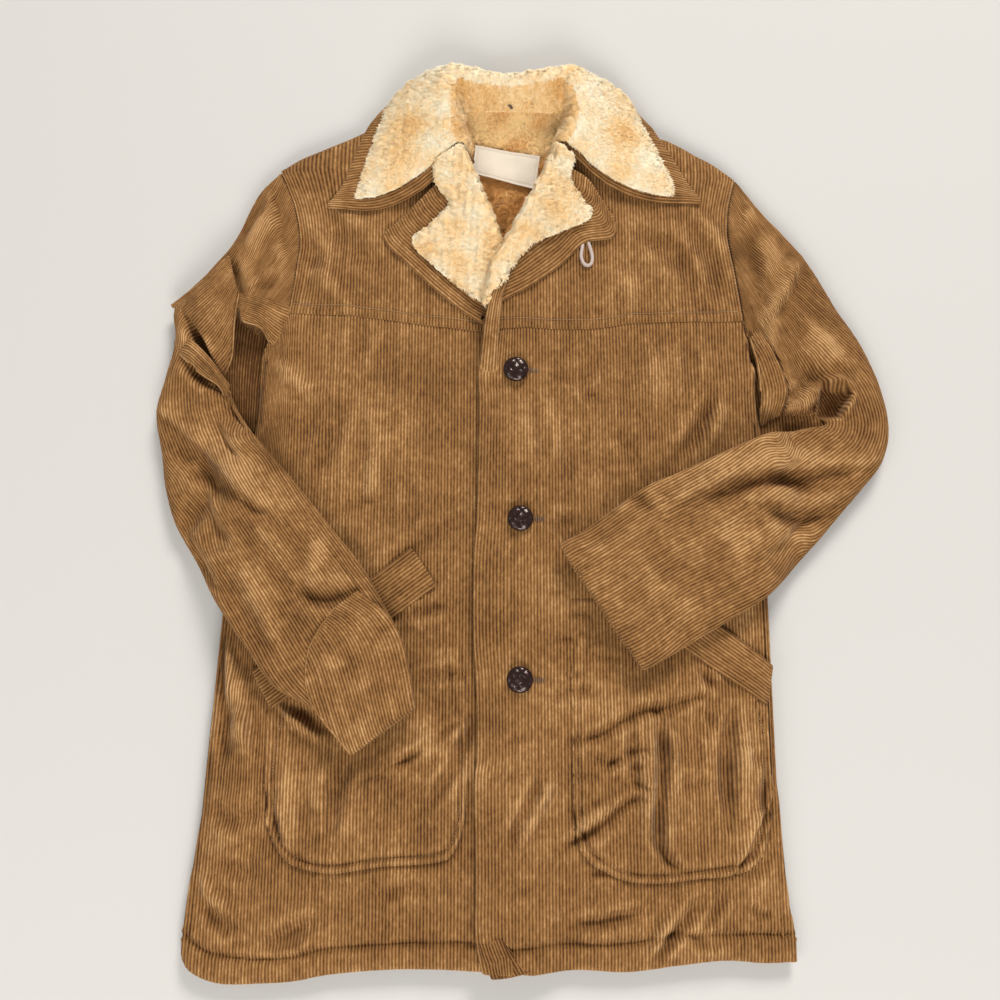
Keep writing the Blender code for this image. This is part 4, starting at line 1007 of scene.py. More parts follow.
# ---- collar and lapels ----
def curve_rows(p, pos):
    q = np.concatenate([2 * p[:1] - p[1:2], p, 2 * p[-1:] - p[-2:-1]])
    x = np.clip(pos, 0, 1) * (len(p) - 1)
    i = np.minimum(x.astype(int), len(p) - 2)
    t = (x - i).reshape((-1,) + (1,) * (p.ndim - 1))
    a, b, c, d = q[i], q[i + 1], q[i + 2], q[i + 3]
    return 0.5 * ((2 * b) + (c - a) * t + (2 * a - 5 * b + 4 * c - d) * t**2 + (3 * b - a - 3 * c + d) * t**3)


def collar_grid(s, t):
    rows = curve_rows(np.array(COLLAR, float), s)
    return np.swapaxes(curve_rows(np.swapaxes(rows, 0, 1), t), 0, 1)


def part_clouds():
    """The tops of the fronts and yokes as the part has them, for what the part seats on them."""
    clouds = []
    for low, high, first, last, top, n in (
        (hem_between(24, -299), YOKE_RIGHT, None, SIDE_RIGHT, body_top, 90),
        (hem_between(-14, 277), YOKE_LEFT, FRONT_EDGE, SIDE_LEFT, left_top, 90),
        (YOKE_RIGHT, SHOULDER_RIGHT, ROLL_RIGHT, ARM_RIGHT, body_top, 40),
        (YOKE_LEFT, SHOULDER_LEFT, ROLL_LEFT, ARM_LEFT, left_top, 40),
    ):
        if first is None:
            first = [low[0], UNDER_EDGE[1]]
        elif n == 90:
            first = [low[0]] + first[1:]
        last = [low[-1]] + last[1:] if n == 90 else last
        g = patch(low, high, first, last, evenly(60), evenly(n))
        clouds.append(lift(g, top(g[..., 0], g[..., 1])).reshape(-1, 3))
    return clouds


def hem_between(x0, x1):
    inner = [p for p in HEM if min(x0, x1) + 6 < p[0] < max(x0, x1) - 6]
    rows = [(min(x0, x1), along(HEM, min(x0, x1)))] + inner + [(max(x0, x1), along(HEM, max(x0, x1)))]
    return rows if x0 < x1 else rows[::-1]


def collar_surface(s, t):
    """The collar's upper face at any s and t: the part's own points, clear of the yokes, drawn finer."""
    ks, kt = evenly(49), evenly(21)
    g = collar_grid(ks, kt)
    low = seat(g[..., :2], np.vstack(CLOUDS[2:4]), 8.0)
    g[..., 2] = np.where(kt[None, :] > 0.2, np.maximum(g[..., 2], low + LAY + COLLAR_WALL), g[..., 2])
    soft = g.copy()
    for _ in range(2):  # eases the steps of the seat
        soft[1:-1, 1:-1, 2] = (g[:-2, 1:-1, 2] + g[2:, 1:-1, 2] + g[1:-1, :-2, 2] + g[1:-1, 2:, 2] + 2 * g[1:-1, 1:-1, 2]) / 6
        g = soft.copy()
    rows = curve_rows(g, s)
    return np.swapaxes(curve_rows(np.swapaxes(rows, 0, 1), t), 0, 1)


def build_collar():
    around = collar_grid(evenly(400), np.array([0.0, 0.8]))[:, 1]
    cut = np.concatenate([[0], np.cumsum(np.linalg.norm(np.diff(around, axis=0), axis=1))])
    total = cut[-1]
    pos = np.arange(0, total, COL)
    s = np.interp(pos, cut, evenly(400))
    t = np.concatenate([np.linspace(0, 0.6, 8), np.linspace(0.6, 1, 14)[1:]])
    G = collar_surface(s, t)
    N, turned = grid_normals(G, 1)
    puff = np.exp(-(((t - 0.93) / 0.07) ** 2))[None, :] * 1.4
    G = G + N * (puff + 0.5 * wobble(G[..., 0], G[..., 1], 30, 51))[..., None]
    G[..., 2] = np.maximum(G[..., 2], 2.2)
    # lighter along the collar's outer fold: painted highlight; the rest differs at random
    tone_and_shade = 0.35 * np.exp(-(((t - 0.97) / 0.05) ** 2))[None, :] + 0.2 * wobble(G[..., 0], G[..., 1], 40, 52)
    under = put("under_collar_cloth", [shell(G, pos / WALE, np.broadcast_to(t * 0.11, G.shape[:2]), tone_and_shade=tone_and_shade, rim=2.2, tuck=12)], CORD)
    return under


def pile_shell(G, up, depth, lumps, seed, tone_and_shade):
    """A soft lumpy bed for the strands, rounded down at its edges."""
    m, n = G.shape[:2]
    N, turned = grid_normals(G, up)
    P = G + N * (depth + 0.7 * lumps * wobble(G[..., 0], G[..., 1] + G[..., 2], 11, seed) + 0.8 * lumps * wobble(G[..., 0], G[..., 1] + G[..., 2], 5.5, seed + 1))[..., None]
    # the bed a little darker than the strands above it: painted shade under the pile
    part = shell(P, np.zeros(m), np.zeros((m, n)), up=up, rib=0.0, rim=1.6, tuck=1.5, tone_and_shade=tone_and_shade(P.reshape(-1, 3)).reshape(m, n) - 0.06)
    return part, P


def strands(P, up, count, length, width, lay, seed, tint, border=0):
    """Fine pile lying on a bed: three triangles each, following the lay and gathering in tufts; extra strands round the
    border lean out over it.
    """
    r = np.random.default_rng(seed)
    m, n = P.shape[:2]
    N, turned = grid_normals(P, up)
    cells = np.linalg.norm(np.cross(P[1:, :-1] - P[:-1, :-1], P[:-1, 1:] - P[:-1, :-1]), axis=-1)
    pick = r.choice(cells.size, count, p=(cells / cells.sum()).ravel())
    i, j = pick // (n - 1), pick % (n - 1)
    a, b = r.random((2, count))
    w = np.stack([(1 - a) * (1 - b), a * (1 - b), a * b, (1 - a) * b], -1)
    idx = [(i, j), (i + 1, j), (i + 1, j + 1), (i, j + 1)]
    root = sum(w[:, k, None] * P[q] for k, q in enumerate(idx))
    nrm = sum(w[:, k, None] * N[q] for k, q in enumerate(idx))
    flow = lay(root)
    if border:
        loop = [(k, 0) for k in range(m)] + [(m - 1, k) for k in range(1, n)]
        loop += [(k, n - 1) for k in range(m - 2, -1, -1)] + [(0, k) for k in range(n - 2, 0, -1)]
        li, lj = np.array(loop[::-1] if turned else loop).T
        base, nb = P[li, lj], N[li, lj]
        out = np.cross(np.roll(base, -3, 0) - np.roll(base, 3, 0), nb)
        out /= np.maximum(np.linalg.norm(out, axis=1, keepdims=True), 1e-6)
        size = np.linalg.norm(np.roll(base, -1, 0) - base, axis=1)
        k = r.choice(len(base), border, p=size / size.sum())
        root = np.vstack([root, base[k] + r.uniform(0, 1, (border, 1)) * (np.roll(base, -1, 0) - base)[k] - out[k] * r.uniform(0, 3, (border, 1))])
        nrm = np.vstack([nrm, nb[k] * 0.6 + out[k] * 0.8])
        flow = np.vstack([flow, out[k] * 1.1 - nb[k] * 0.9])
        count += border
    nrm /= np.maximum(np.linalg.norm(nrm, axis=1, keepdims=True), 1e-6)
    flow = flow + 1.6 * (nrm * nrm[:, 2:3] - np.array([0, 0, 1.0]))  # down any slope
    flow = flow - nrm * np.sum(flow * nrm, 1, keepdims=True)
    swirl = np.stack([wobble(root[:, 0], root[:, 1] + root[:, 2], 6.5, seed + 2), wobble(root[:, 0], root[:, 1] - root[:, 2], 6.5, seed + 3), np.zeros(count)], -1)
    jitter = r.normal(0, 1, (count, 3))
    lean = 0.60 * flow + 0.75 * swirl + 0.34 * jitter
    lean = lean - nrm * np.sum(lean * nrm, 1, keepdims=True)
    lean /= np.maximum(np.linalg.norm(lean, axis=1, keepdims=True), 1e-6)
    size = length * r.uniform(0.6, 1.15, count)[:, None]
    mid = root + (nrm * 0.42 + lean * 0.36) * size
    tip = root + (nrm * 0.50 + lean * 0.95) * size
    across = np.cross(nrm, lean) * width / 2
    v = np.stack([root + across, root - across, mid - across * 0.9, mid + across * 0.9, tip], 1).reshape(-1, 3)
    k = np.arange(count)[:, None] * 5
    quad = k + np.array([[0, 1, 2, 3]])
    tri = k + np.array([[3, 2, 4, 4]])
    shade = tint(root) + r.normal(0, 0.11, count)
    # roots darker and tips lighter: painted shade low in the pile, painted highlight at the tips
    tones = np.stack([shade - 0.12, shade - 0.12, shade, shade, shade + 0.10], 1).reshape(-1)
    soft = nrm + 0.16 * lean + 0.10 * jitter
    soft /= np.linalg.norm(soft, axis=1, keepdims=True)
    return [v, np.vstack([quad, tri]), np.zeros((len(v), 2)), tones], np.repeat(soft, 5, 0)


def nap_of(direction):
    d = np.array(direction, float)
    return lambda p: np.broadcast_to(d, p.shape)


# the pile of the lapels in the photograph: along the opening, and along its outer edge
PILE_INNER_RIGHT = [(490, 303), (494, 281), (499, 262), (502, 250), (490, 214), (480, 190), (470, 167), (460, 146)]
PILE_OUTER_RIGHT = [(487, 304), (470, 293), (443, 271), (413, 240), (432, 222), (449, 204), (436, 183), (434, 164)]
PILE_INNER_LEFT = [(486, 304), (490, 281), (495, 261), (509, 241), (529, 205), (545, 174), (552, 158), (556, 144)]
PILE_OUTER_LEFT = [(494, 306), (511, 272), (530, 249), (560, 230), (591, 214), (580, 196), (569, 180), (574, 162)]


def build_pile():
    made = {}
    # collar facing: the collar's own points, less its rim
    s0, s1, t1 = 0.034, 0.982, 0.88
    s, t = s0 + (s1 - s0) * evenly(210), t1 * evenly(38)
    G = collar_surface(s, t)
    q = evenly(210)
    ends = np.sqrt(np.clip(1 - (2 * np.abs(q - 0.5)) ** 22, 0.08, 1))[:, None]
    depth = LAY + 0.75 * PILE * ends * np.sqrt(1 - 0.92 * (t / t1) ** 7)[None, :]
    honey = [at(412, 130, 34), at(620, 136, 34), at(395, 165, 30)]
    fold = np.array([row[1][:2] for row in COLLAR], float) + [(0, -4)]
    inside = lambda p: 1.0 * in_shape(p[:, 0], p[:, 1], fold)
    corner = lambda p: sum(np.exp(-(((p[:, 0] - x) / 9) ** 2 + ((p[:, 1] - 652) / 14) ** 2)) for x in (-38, 60))
    # darker inside the collar's fold and more so at its corners: painted shade; the honey patches and the rest are the
    # pile's own colour
    pile_tint_and_shade = lambda p: 0.77 + 0.15 * wobble(p[:, 0], p[:, 1], 30, 61) + 0.07 * wobble(p[:, 0], p[:, 1], 7, 64) - sum(
        k * np.exp(-(((p[:, 0] - h[0]) / 20) ** 2 + ((p[:, 1] - h[1]) / 26) ** 2)) for h, k in zip(honey, (0.42, 0.22, 0.25))) - inside(p) * (
        0.42 + 0.25 * corner(p))
    bed, P = pile_shell(G, 1, depth, 1.1, 62, pile_tint_and_shade)
    made["collar_facing"] = put("collar_pile", [bed], PILE_MAT)
    lay = lambda p: np.stack([np.sign(p[:, 0] - 12) * np.minimum(np.abs(p[:, 0] - 12) / 60, 1) * 0.8, -0.75 * np.ones(len(p)), 0 * p[:, 0]], -1)
    part, soft = strands(P, 1, 32000, 3.6, 0.89, lay, 63, pile_tint_and_shade, border=2700)
    made["collar_strands"] = put("collar_pile_strands", [part], PILE_MAT, clean=False, normals=soft)
    over = collar_surface(evenly(80), 0.6 * evenly(14)).reshape(-1, 3)
    # lapel facings: up over the fold, and down into the opening
    for side, inner, outer, into in (("right", PILE_INNER_RIGHT, PILE_OUTER_RIGHT, 1), ("left", PILE_INNER_LEFT, PILE_OUTER_LEFT, -1)):
        inner, outer = [at(px, py, 37.0) for px, py in inner], [at(px, py, 31.0) for px, py in outer]
        u, v = evenly(46), evenly(90)
        plan = patch([inner[0], outer[0]], [inner[-1], outer[-1]], inner, outer, u, v)
        laid = np.vstack([LAPEL_CLOUD[side] + [0, 0, COLLAR_WALL], over])
        z = seat(plan[::3, ::3], laid, 7.0)
        for _ in range(3):  # places off the cloth take the height of those beside them
            z = np.where(z < 5, np.maximum(np.maximum(np.roll(z, 1, 0), np.roll(z, -1, 0)), np.maximum(np.roll(z, 1, 1), np.roll(z, -1, 1))), z)
        grid = np.array([np.interp(v, v[::3], row) for row in z])
        z = np.array([np.interp(u, u[::3], grid[:, j]) for j in range(len(v))]).T
        for _ in range(14):
            z[1:-1, 1:-1] = (z[:-2, 1:-1] + z[2:, 1:-1] + z[1:-1, :-2] + z[1:-1, 2:]) / 4
            z[0, 1:-1], z[-1, 1:-1] = (z[0, :-2] + z[0, 2:]) / 2, (z[-1, :-2] + z[-1, 2:]) / 2
        depth = 0.75 * PILE * np.sqrt(1 - 0.85 * u[:, None] ** 5) * np.interp(v, [0, 0.10, 0.25, 1], [0.9, 1.35, 1, 1])[None, :]
        G = lift(plan, z + 0.6 + depth)
        roll_in = [G[:1] + np.array([into * o, 0, -d]) for o, d in ((-3.0, 19.0), (1.5, 13.0), (3.2, 7.0), (2.6, 2.6))]
        G = np.concatenate(roll_in + [G])
        warm2 = lambda p: 0.64 + 0.20 * wobble(p[:, 0], p[:, 1], 26, 73) + 0.07 * wobble(p[:, 0], p[:, 1], 7, 75)
        bed, P = pile_shell(G, 1, 0.0, 1.1, 72, warm2)
        made["lapel_facing_" + side] = put("lapel_pile_" + side, [bed], PILE_MAT)
        part, soft = strands(P, 1, 11500, 3.4, 0.85, nap_of((-0.35 if side == "right" else 0.3, -0.8, 0)), 74, warm2, border=1300)
        made["lapel_strands_" + side] = put("lapel_pile_strands_" + side, [part], PILE_MAT, clean=False, normals=soft)
    # lining inside the neck, up to the collar's stand
    right = [(-1, 466), (-18, 520), (-32, 560), (-42, 592), (-44, 641)]
    left = [(4, 466), (30, 520), (54, 560), (70, 592), (71, 641)]
    plan = patch([right[0], left[0]], [right[-1], (12, 641), left[-1]], right, left, evenly(52), evenly(90))
    x, y = plan[..., 0], plan[..., 1]
    z = BACK_WALL + 0.3 + 0.45 * LINING + 1.2 * wobble(x, y, 40, 81) + 10 * step((y - 608) / 32)
    deep = lambda p: 0.34 + 0.58 * step((p[:, 1] - 560) / 45) + 0.16 * wobble(p[:, 0], p[:, 1], 24, 83)
    bed, P = pile_shell(lift(plan, z), 1, 0.0, 0.7, 82, deep)
    made["neck_lining"] = put("neck_lining_pile", [bed], LINING_MAT)
    part, soft = strands(P, 1, 9500, 4.3, 0.85, nap_of((0.1, -0.8, 0)), 84, deep)
    made["neck_strands"] = put("neck_lining_strands", [part], LINING_MAT, clean=False, normals=soft)
    return made


LAPEL_CLOUD = {}


def build_lapels():
    made = {}
    for side, roll, edge, high, foot, top in (
        ("right", LAPEL_ROLL_RIGHT, LAPEL_EDGE_RIGHT, LAPEL_TOP_RIGHT, LAPEL_FOOT_RIGHT, body_top),
        ("left", LAPEL_ROLL_LEFT, LAPEL_EDGE_LEFT, LAPEL_TOP_LEFT, LAPEL_FOOT_LEFT, left_top),
    ):
        v = evenly(60)
        roll_c, edge_c = curve(roll)(v), curve(edge)(v)
        width = np.maximum(np.hypot(*(edge_c - roll_c).T), 2.0)
        far = np.arange(0, width.max(), COL)
        U = np.clip(1 - far[:, None] / width[None, :], 0, 1)
        V = np.broadcast_to(v[None, :], U.shape)
        plan = patch(foot, high, roll, edge, U, V)
        rise = along(ROLL_RISE, v)[None, :] * (1 - U) ** 1.6
        flat = top(plan[..., 0], plan[..., 1]) + LAY + rise
        LAPEL_CLOUD[side] = lift(plan, flat)[::3, ::2].reshape(-1, 3)
        puff = 1.8 * np.exp(-(((far - 5) / 6) ** 2))[:, None]
        z = flat + COLLAR_WALL + puff + 0.6 * wobble(plan[..., 0], plan[..., 1], 26, 91)
        # lighter along the roll: painted highlight; the rest differs at random
        tone_and_shade = 0.3 * np.exp(-((far / 5) ** 2))[:, None] + 0.2 * wobble(plan[..., 0], plan[..., 1], 30, 92)
        parts = [shell(lift(plan, z), far / WALE, np.broadcast_to(v * 0.2, U.shape), tone_and_shade=tone_and_shade, rim=2.4, tuck=6)]
        if side == "left":
            # a fold lying over the lapel, lightened: painted highlight
            parts.append(flap([(479, 372, 29), (488, 371, 31), (496, 372, 29)], [(498, 278, 44), (502, 280, 45), (506, 283, 43)],
                              [(479, 372, 29), (481, 352, 33), (484, 326, 38), (488, 304, 42), (492, 290, 43), (498, 278, 44)],
                              [(496, 372, 29), (497, 352, 32), (498, 326, 37), (500, 304, 41), (502, 292, 43), (506, 283, 43)], 2.6, 44, 95, fan=0.8, tone_and_shade=0.35))
        made["lapel_" + side] = put("lapel_" + side + "_cloth", parts, CORD)
    return made


# ---- sleeves ----
def ring_points(row, arm, n):
    ax, ay, bx, by, bow, laid, high = row
    ang = np.arange(n) / n * 2 * math.pi
    e = 2 / SLEEVE_SQUARE
    across = np.sign(np.cos(ang)) * np.abs(np.cos(ang)) ** e
    rise = np.sign(np.sin(ang)) * np.abs(np.sin(ang)) ** e
    a, b = np.array([ax, ay], float), np.array([bx, by], float)
    share = (1 - across) / 2
    chord = arm(np.array([0.0]))[0], arm(np.array([1.0]))[0]
    bend = arm(share) - (chord[0] + share[:, None] * (chord[1] - chord[0]))
    xy = a + share[:, None] * (b - a) + bow * bend
    below = seat(a + share[:, None] * (b - a), np.vstack(PART_LAID), SLEEVE_REACH)
    low = laid * np.where(below > 0, below + LAY, 0)
    z = low + high * (rise + 1) / 2
    return np.concatenate([xy, z[:, None]], -1)


HEAD_TURN, HEAD_RUN = 62.0, 84.0


def sleeve_tube(rows, arm, table, level, rows_n, hollows, seed):
    """The sleeve as a tube: wales along it, counted from the middle of its upper face, creases on top, hollows pressed
    down.
    """
    n = 64
    rings = np.array([ring_points(r, arm, n) for r in rows])
    mid = (rings[:, 0] + rings[:, n // 2]) / 2
    cut = np.concatenate([[0], np.cumsum(np.linalg.norm(np.diff(mid[:, :2], axis=0), axis=1))])
    want = np.linspace(0, cut[-1], rows_n)
    pos = np.interp(want, cut, evenly(len(rows)))
    R = curve_rows(rings, pos)  # rows_n, n, 3
    closed = np.concatenate([R, R[:, :1]], 1)
    seg = np.linalg.norm(np.diff(closed, axis=1), axis=2)
    arc = np.concatenate([np.zeros((rows_n, 1)), np.cumsum(seg, 1)], 1)
    half = arc[:, -1].max() / 2
    swing = -HEAD_TURN * np.clip(1 - want / HEAD_RUN, 0, 1) ** 2  # wales hang down from the shoulder
    fine_s = np.arange(0, 84, COL)
    coarse_s = np.arange(fine_s[-1] + WALE / 2, 130, WALE / 2)
    under_s = np.arange(coarse_s[-1] + WALE, half + WALE, 2 * WALE)
    side = np.concatenate([fine_s, coarse_s, under_s])
    line = np.concatenate([-side[:0:-1], side])
    G = np.zeros((len(line), rows_n, 3))
    top = np.zeros((len(line), rows_n))
    for i in range(rows_n):
        a = arc[i]
        centre = a[n // 4] if n // 4 < len(a) else a[-1] / 4
        span = a[-1] / 2
        where = (centre + swing[i] + np.clip(line, -span, span)) % a[-1]
        for k in range(3):
            G[:, i, k] = np.interp(where, a, closed[i, :, k])
        ang = np.interp(where, a, np.arange(n + 1) / n * 2 * math.pi)
        top[:, i] = np.sin(ang)
    on = step(top * 2.2) * step(want / 16)[None, :]
    c, tone_and_shade = creases(G[..., 0], G[..., 1], table, level)
    G[..., 2] = np.maximum(G[..., 2] + 1.45 * c * on + 1.3 * on * wobble(G[..., 0], G[..., 1], 30, seed) + 0.7 * on * wobble(G[..., 0], G[..., 1], 15, seed + 2), np.where(top > 0, 3.0, G[..., 2]))
    tone_and_shade = tone_and_shade * on + 0.22 * wobble(G[..., 0], G[..., 1], 44, seed + 1)
    face = upper_face(G, top)
    calm = np.ones(tone_and_shade.shape)
    for places, target, soft in hollows:
        pressed, m = press(G[..., 0], G[..., 1], G[..., 2], places, 18.0, target, soft)
        G[..., 2] = np.minimum(pressed, G[..., 2])
        # the pressed hollow darkened: painted shade
        tone_and_shade = tone_and_shade - 1.3 * m
        calm = np.minimum(calm, 1 - 0.85 * step(m * 4) * (top > 0))
    return G, line, tone_and_shade, want, calm, face


def tube_shell(G, line, tone_and_shade, want, calm):
    """Faces of a sleeve tube, with its cuff turned in and its head tucked under the armhole."""
    m, n = G.shape[:2]
    N, turned = grid_normals(G, 1)
    centre = G.mean(0, keepdims=True)
    if np.sum(N * (G - centre)) < 0:
        N, turned = -N, not turned
    phase = np.broadcast_to((line / WALE)[:, None], (m, n))
    amp = RIB * calm * (1 + 0.14 * np.sin(np.round(phase) * 12.9898))
    P = G + N * (rib_of(phase) * amp)[..., None]
    run = np.broadcast_to(want[None, :] * 0.001, (m, n))
    cols = [P]
    # the cuff: round the edge, then back inside
    ahead = G[:, -1] - G[:, -2]
    ahead /= np.maximum(np.linalg.norm(ahead, axis=1, keepdims=True), 1e-6)
    rim = 1.9
    for a in (0.3, 0.5, 0.7, 1.0):
        cols.append((G[:, -1] + ahead * rim * math.sin(a * math.pi) - N[:, -1] * rim * (1 - math.cos(a * math.pi)))[:, None])
    for back in (3, 6, 9):
        cols.append((G[:, -1 - back] - N[:, -1 - back] * 4.2)[:, None])
    # the head: tucked under the armhole edge
    behind = G[:, 0] - G[:, 2]
    behind /= np.maximum(np.linalg.norm(behind, axis=1, keepdims=True), 1e-6)
    tucked = [(G[:, 0] + behind * o - np.array([0, 0, d]))[:, None] for o, d in ((5.0, 9.5), (3.2, 6.0), (1.5, 2.2))]
    full = np.concatenate(tucked + cols, 1)
    k = full.shape[1]
    phase = np.broadcast_to((line / WALE)[:, None], (m, k))
    run = np.concatenate([run[:, :1] - 0.002 * np.arange(3, 0, -1)[None, :], run, run[:, -1:] + 0.002 * np.arange(1, k - n - 2)[None, :]], 1)
    # darker on the head tucked under the armhole and inside the cuff, lighter on the cuff's rolled edge: painted shade
    # and painted highlight
    tone_and_shade = np.concatenate([np.repeat(tone_and_shade[:, :1] - 0.5, 3, 1), tone_and_shade, np.repeat(tone_and_shade[:, -1:] + 0.25, 4, 1), np.repeat(tone_and_shade[:, -1:] - 0.8, k - n - 7, 1)], 1)
    ids = np.arange(m * k).reshape(m, k)
    quads = quads_of(ids)
    join = np.stack([ids[-1, :-1], ids[0, :-1], ids[0, 1:], ids[-1, 1:]], -1)
    quads = np.vstack([quads, join])
    if turned:
        quads = quads[:, ::-1]
    return [full.reshape(-1, 3), quads, np.stack([phase, run], -1).reshape(-1, 2), tone_and_shade.reshape(-1)]


def over_cloth(base, line):
    """Photograph places and heights over some cloth, as photograph places and heights over the floor."""
    out = []
    for px, py, dz in line:
        z = 26.0
        for _ in range(4):
            x, y = at(px, py, z)
            z = base(x, y) + dz
        out.append((px, py, z))
    return out


def upper_face(G, top):
    """Height of the upper face of a tube near a place."""
    pts = G[top > 0.1]
    def height(x, y):
        d = (pts[:, 0] - x) ** 2 + (pts[:, 1] - y) ** 2
        k = np.argpartition(d, 6)[:6]
        w = 1 / (d[k] + 0.5)
        return float((pts[k, 2] * w).sum() / w.sum())
    return height


def flap(low, high, first, last, bulge, rows, seed, rim=1.8, tuck=6.0, keep="first", fan=0.0, tone_and_shade=0.0):
    """A fold of cloth lying over the rest: a patch between four lines of photograph place and height.

    Its wales run along the kept side and run out at the other; fan spreads them instead.
    """
    place = lambda line: [(*at(px, py, z), z) for px, py, z in line]
    low, high, first, last = map(place, (low, high, first, last))
    v = evenly(rows)
    ends = patch(low, high, first, last, evenly(2), v)
    wide = np.maximum(np.linalg.norm(ends[1] - ends[0], axis=1), 1.0)
    line = np.arange(0, wide.max() + COL, COL)
    far = line[:, None] * ((1 - fan) + fan * wide[None, :] / wide.max()) / wide[None, :]
    U = np.clip(far, 0, 1)
    U = U if keep == "first" else 1 - U
    V = np.broadcast_to(v[None, :], U.shape)
    G = patch(low, high, first, last, U, V)
    G[..., 2] += bulge * np.sin(math.pi * U) ** 0.7 * np.sin(math.pi * (0.06 + 0.88 * V)) ** 0.7
    G[..., 2] += 0.9 * wobble(G[..., 0], G[..., 1], 18, seed)
    run = np.linalg.norm(np.diff(curve(first)(v), axis=0), axis=1).sum() * v[None, :] * 0.001
    # the given colour shift: painted highlight on raised folds, painted shade on undersides; the rest differs at random
    shade = tone_and_shade + 0.4 * wobble(G[..., 0], G[..., 1], 24, seed + 2)
    return shell(G, line / WALE + seed * 0.31, np.broadcast_to(run, U.shape), rim=rim, tuck=tuck, tone_and_shade=shade)


def build_sleeves():
    made = {}
    arm = curve([(x - ARM_GAP, y) for x, y in SIDE_RIGHT[-4:] + ARM_RIGHT[1:]][::-1])
    hollows = [([(230, 300), (246, 316), (274, 330), (277, 356), (274, 396), (262, 438), (241, 414), (227, 396), (212, 390), (214, 356), (222, 322)], 6.5, 11.0)]
    G, line, tone_and_shade, want, calm, face = sleeve_tube(SLEEVE_RIGHT, arm, ARM_RIGHT_CREASES, 32.0, 152, hollows, 101)
    parts = [tube_shell(G, line, tone_and_shade, want, calm)]
    # the under side of the sleeve, seen in the bend of the arm, darkened: painted shade
    parts.append(flap([(224, 304, 9), (278, 318, 9)], [(222, 402, 9), (270, 446, 8)],
                      [(224, 304, 9), (220, 356, 9), (222, 402, 9)], [(278, 318, 9), (276, 362, 8.5), (270, 446, 8)], 0.4, 18, 109, tone_and_shade=-1.1))
    # the lobe of cloth under the arm, lightened: painted highlight
    parts.append(flap(over_cloth(face, [(237, 291, 1.0), (243, 320, 1.5)]), over_cloth(face, [(290, 308, 0.4), (274, 352, -1.0)]),
                      over_cloth(face, [(237, 291, 1.0), (262, 298, 1.4), (290, 308, 0.4)]),
                      over_cloth(face, [(243, 320, 1.5), (262, 328, 2.5), (274, 352, -1.0)]), 4.0, 34, 110, rim=1.6, fan=0.6, tone_and_shade=0.2))
    # upper arm: the large fold that hangs over the elbow
    parts.append(flap([(227, 256, 31), (237, 292, 31)], [(171, 304, 17), (186, 312, 27), (205, 339, 30), (222, 377, 26)],
                      [(227, 256, 31), (203, 280, 27), (171, 304, 17)],
                      [(237, 292, 31), (233, 318, 32), (230, 356, 30), (222, 377, 26)], 4.5, 44, 111, rim=2.2, tuck=7, fan=0.55))
    # the roll of cloth at the elbow, lightened: painted highlight
    parts.append(flap([(174, 341, 18), (180, 353, 24)], [(229, 385, 29), (225, 395, 25)],
                      [(174, 341, 18), (191, 341, 29), (212, 361, 33), (229, 385, 29)],
                      [(180, 353, 24), (199, 371, 28), (218, 384, 28), (225, 395, 25)], 5.0, 40, 113, fan=0.7, tone_and_shade=0.25))
    # the doubled cloth at the cuff, lightened: painted highlight
    parts.append(flap([(335, 608, 49), (358, 592, 46)], [(351, 754, 45), (376, 734, 50), (391, 721, 50), (415, 706, 43)],
                      [(335, 608, 49), (318, 632, 50), (307, 660, 48), (311, 702, 46), (351, 754, 45)],
                      [(358, 592, 46), (384, 612, 47), (402, 643, 45), (415, 706, 42)], 4.0, 52, 115, keep="last", fan=0.15, tone_and_shade=0.3))
    made["sleeve_right"] = put("sleeve_right_cloth", parts, CORD)
    arm = curve([(x + ARM_GAP, y) for x, y in SIDE_LEFT[-4:] + ARM_LEFT[1:]][::-1])
    hollows = [([(742, 334), (757, 332), (776, 356), (788, 390), (786, 412), (806, 410), (822, 394), (816, 421), (800, 424), (764, 436), (752, 436), (746, 380)], 9.0, 4.0),
               ([(818, 380), (846, 384), (854, 394), (842, 421), (812, 421)], 8.0, 8.0)]
    G, line, tone_and_shade, want, calm, face = sleeve_tube(SLEEVE_LEFT, arm, ARM_LEFT_CREASES, 32.0, 152, hollows, 103)
    parts = [tube_shell(G, line, tone_and_shade, want, calm)]
    # the under side of the sleeve, seen in the bend of the arm, darkened: painted shade
    parts.append(flap([(738, 336, 9), (800, 388, 12)], [(748, 444, 9), (826, 430, 12)],
                      [(738, 336, 9), (744, 392, 9), (748, 444, 9)], [(800, 388, 12), (812, 408, 12), (826, 430, 12)], 0.8, 18, 116, tone_and_shade=-0.6))
    # the tongue of cloth tucked under the arm, lightened: painted highlight
    parts.append(flap([(738, 318, 6), (750, 314, 6)], [(762, 424, 13), (780, 415, 15)],
                      [(738, 318, 6), (750, 336, 15), (757, 356, 23), (761, 378, 25), (762, 400, 23), (762, 424, 13)],
                      [(750, 314, 6), (762, 334, 18), (774, 352, 26), (785, 378, 27), (787, 396, 25), (780, 415, 15)], 4.0, 48, 117, rim=2.2, keep="last", fan=0.5, tone_and_shade=0.2))
    made["sleeve_left"] = put("sleeve_left_cloth", parts, CORD)
    return made


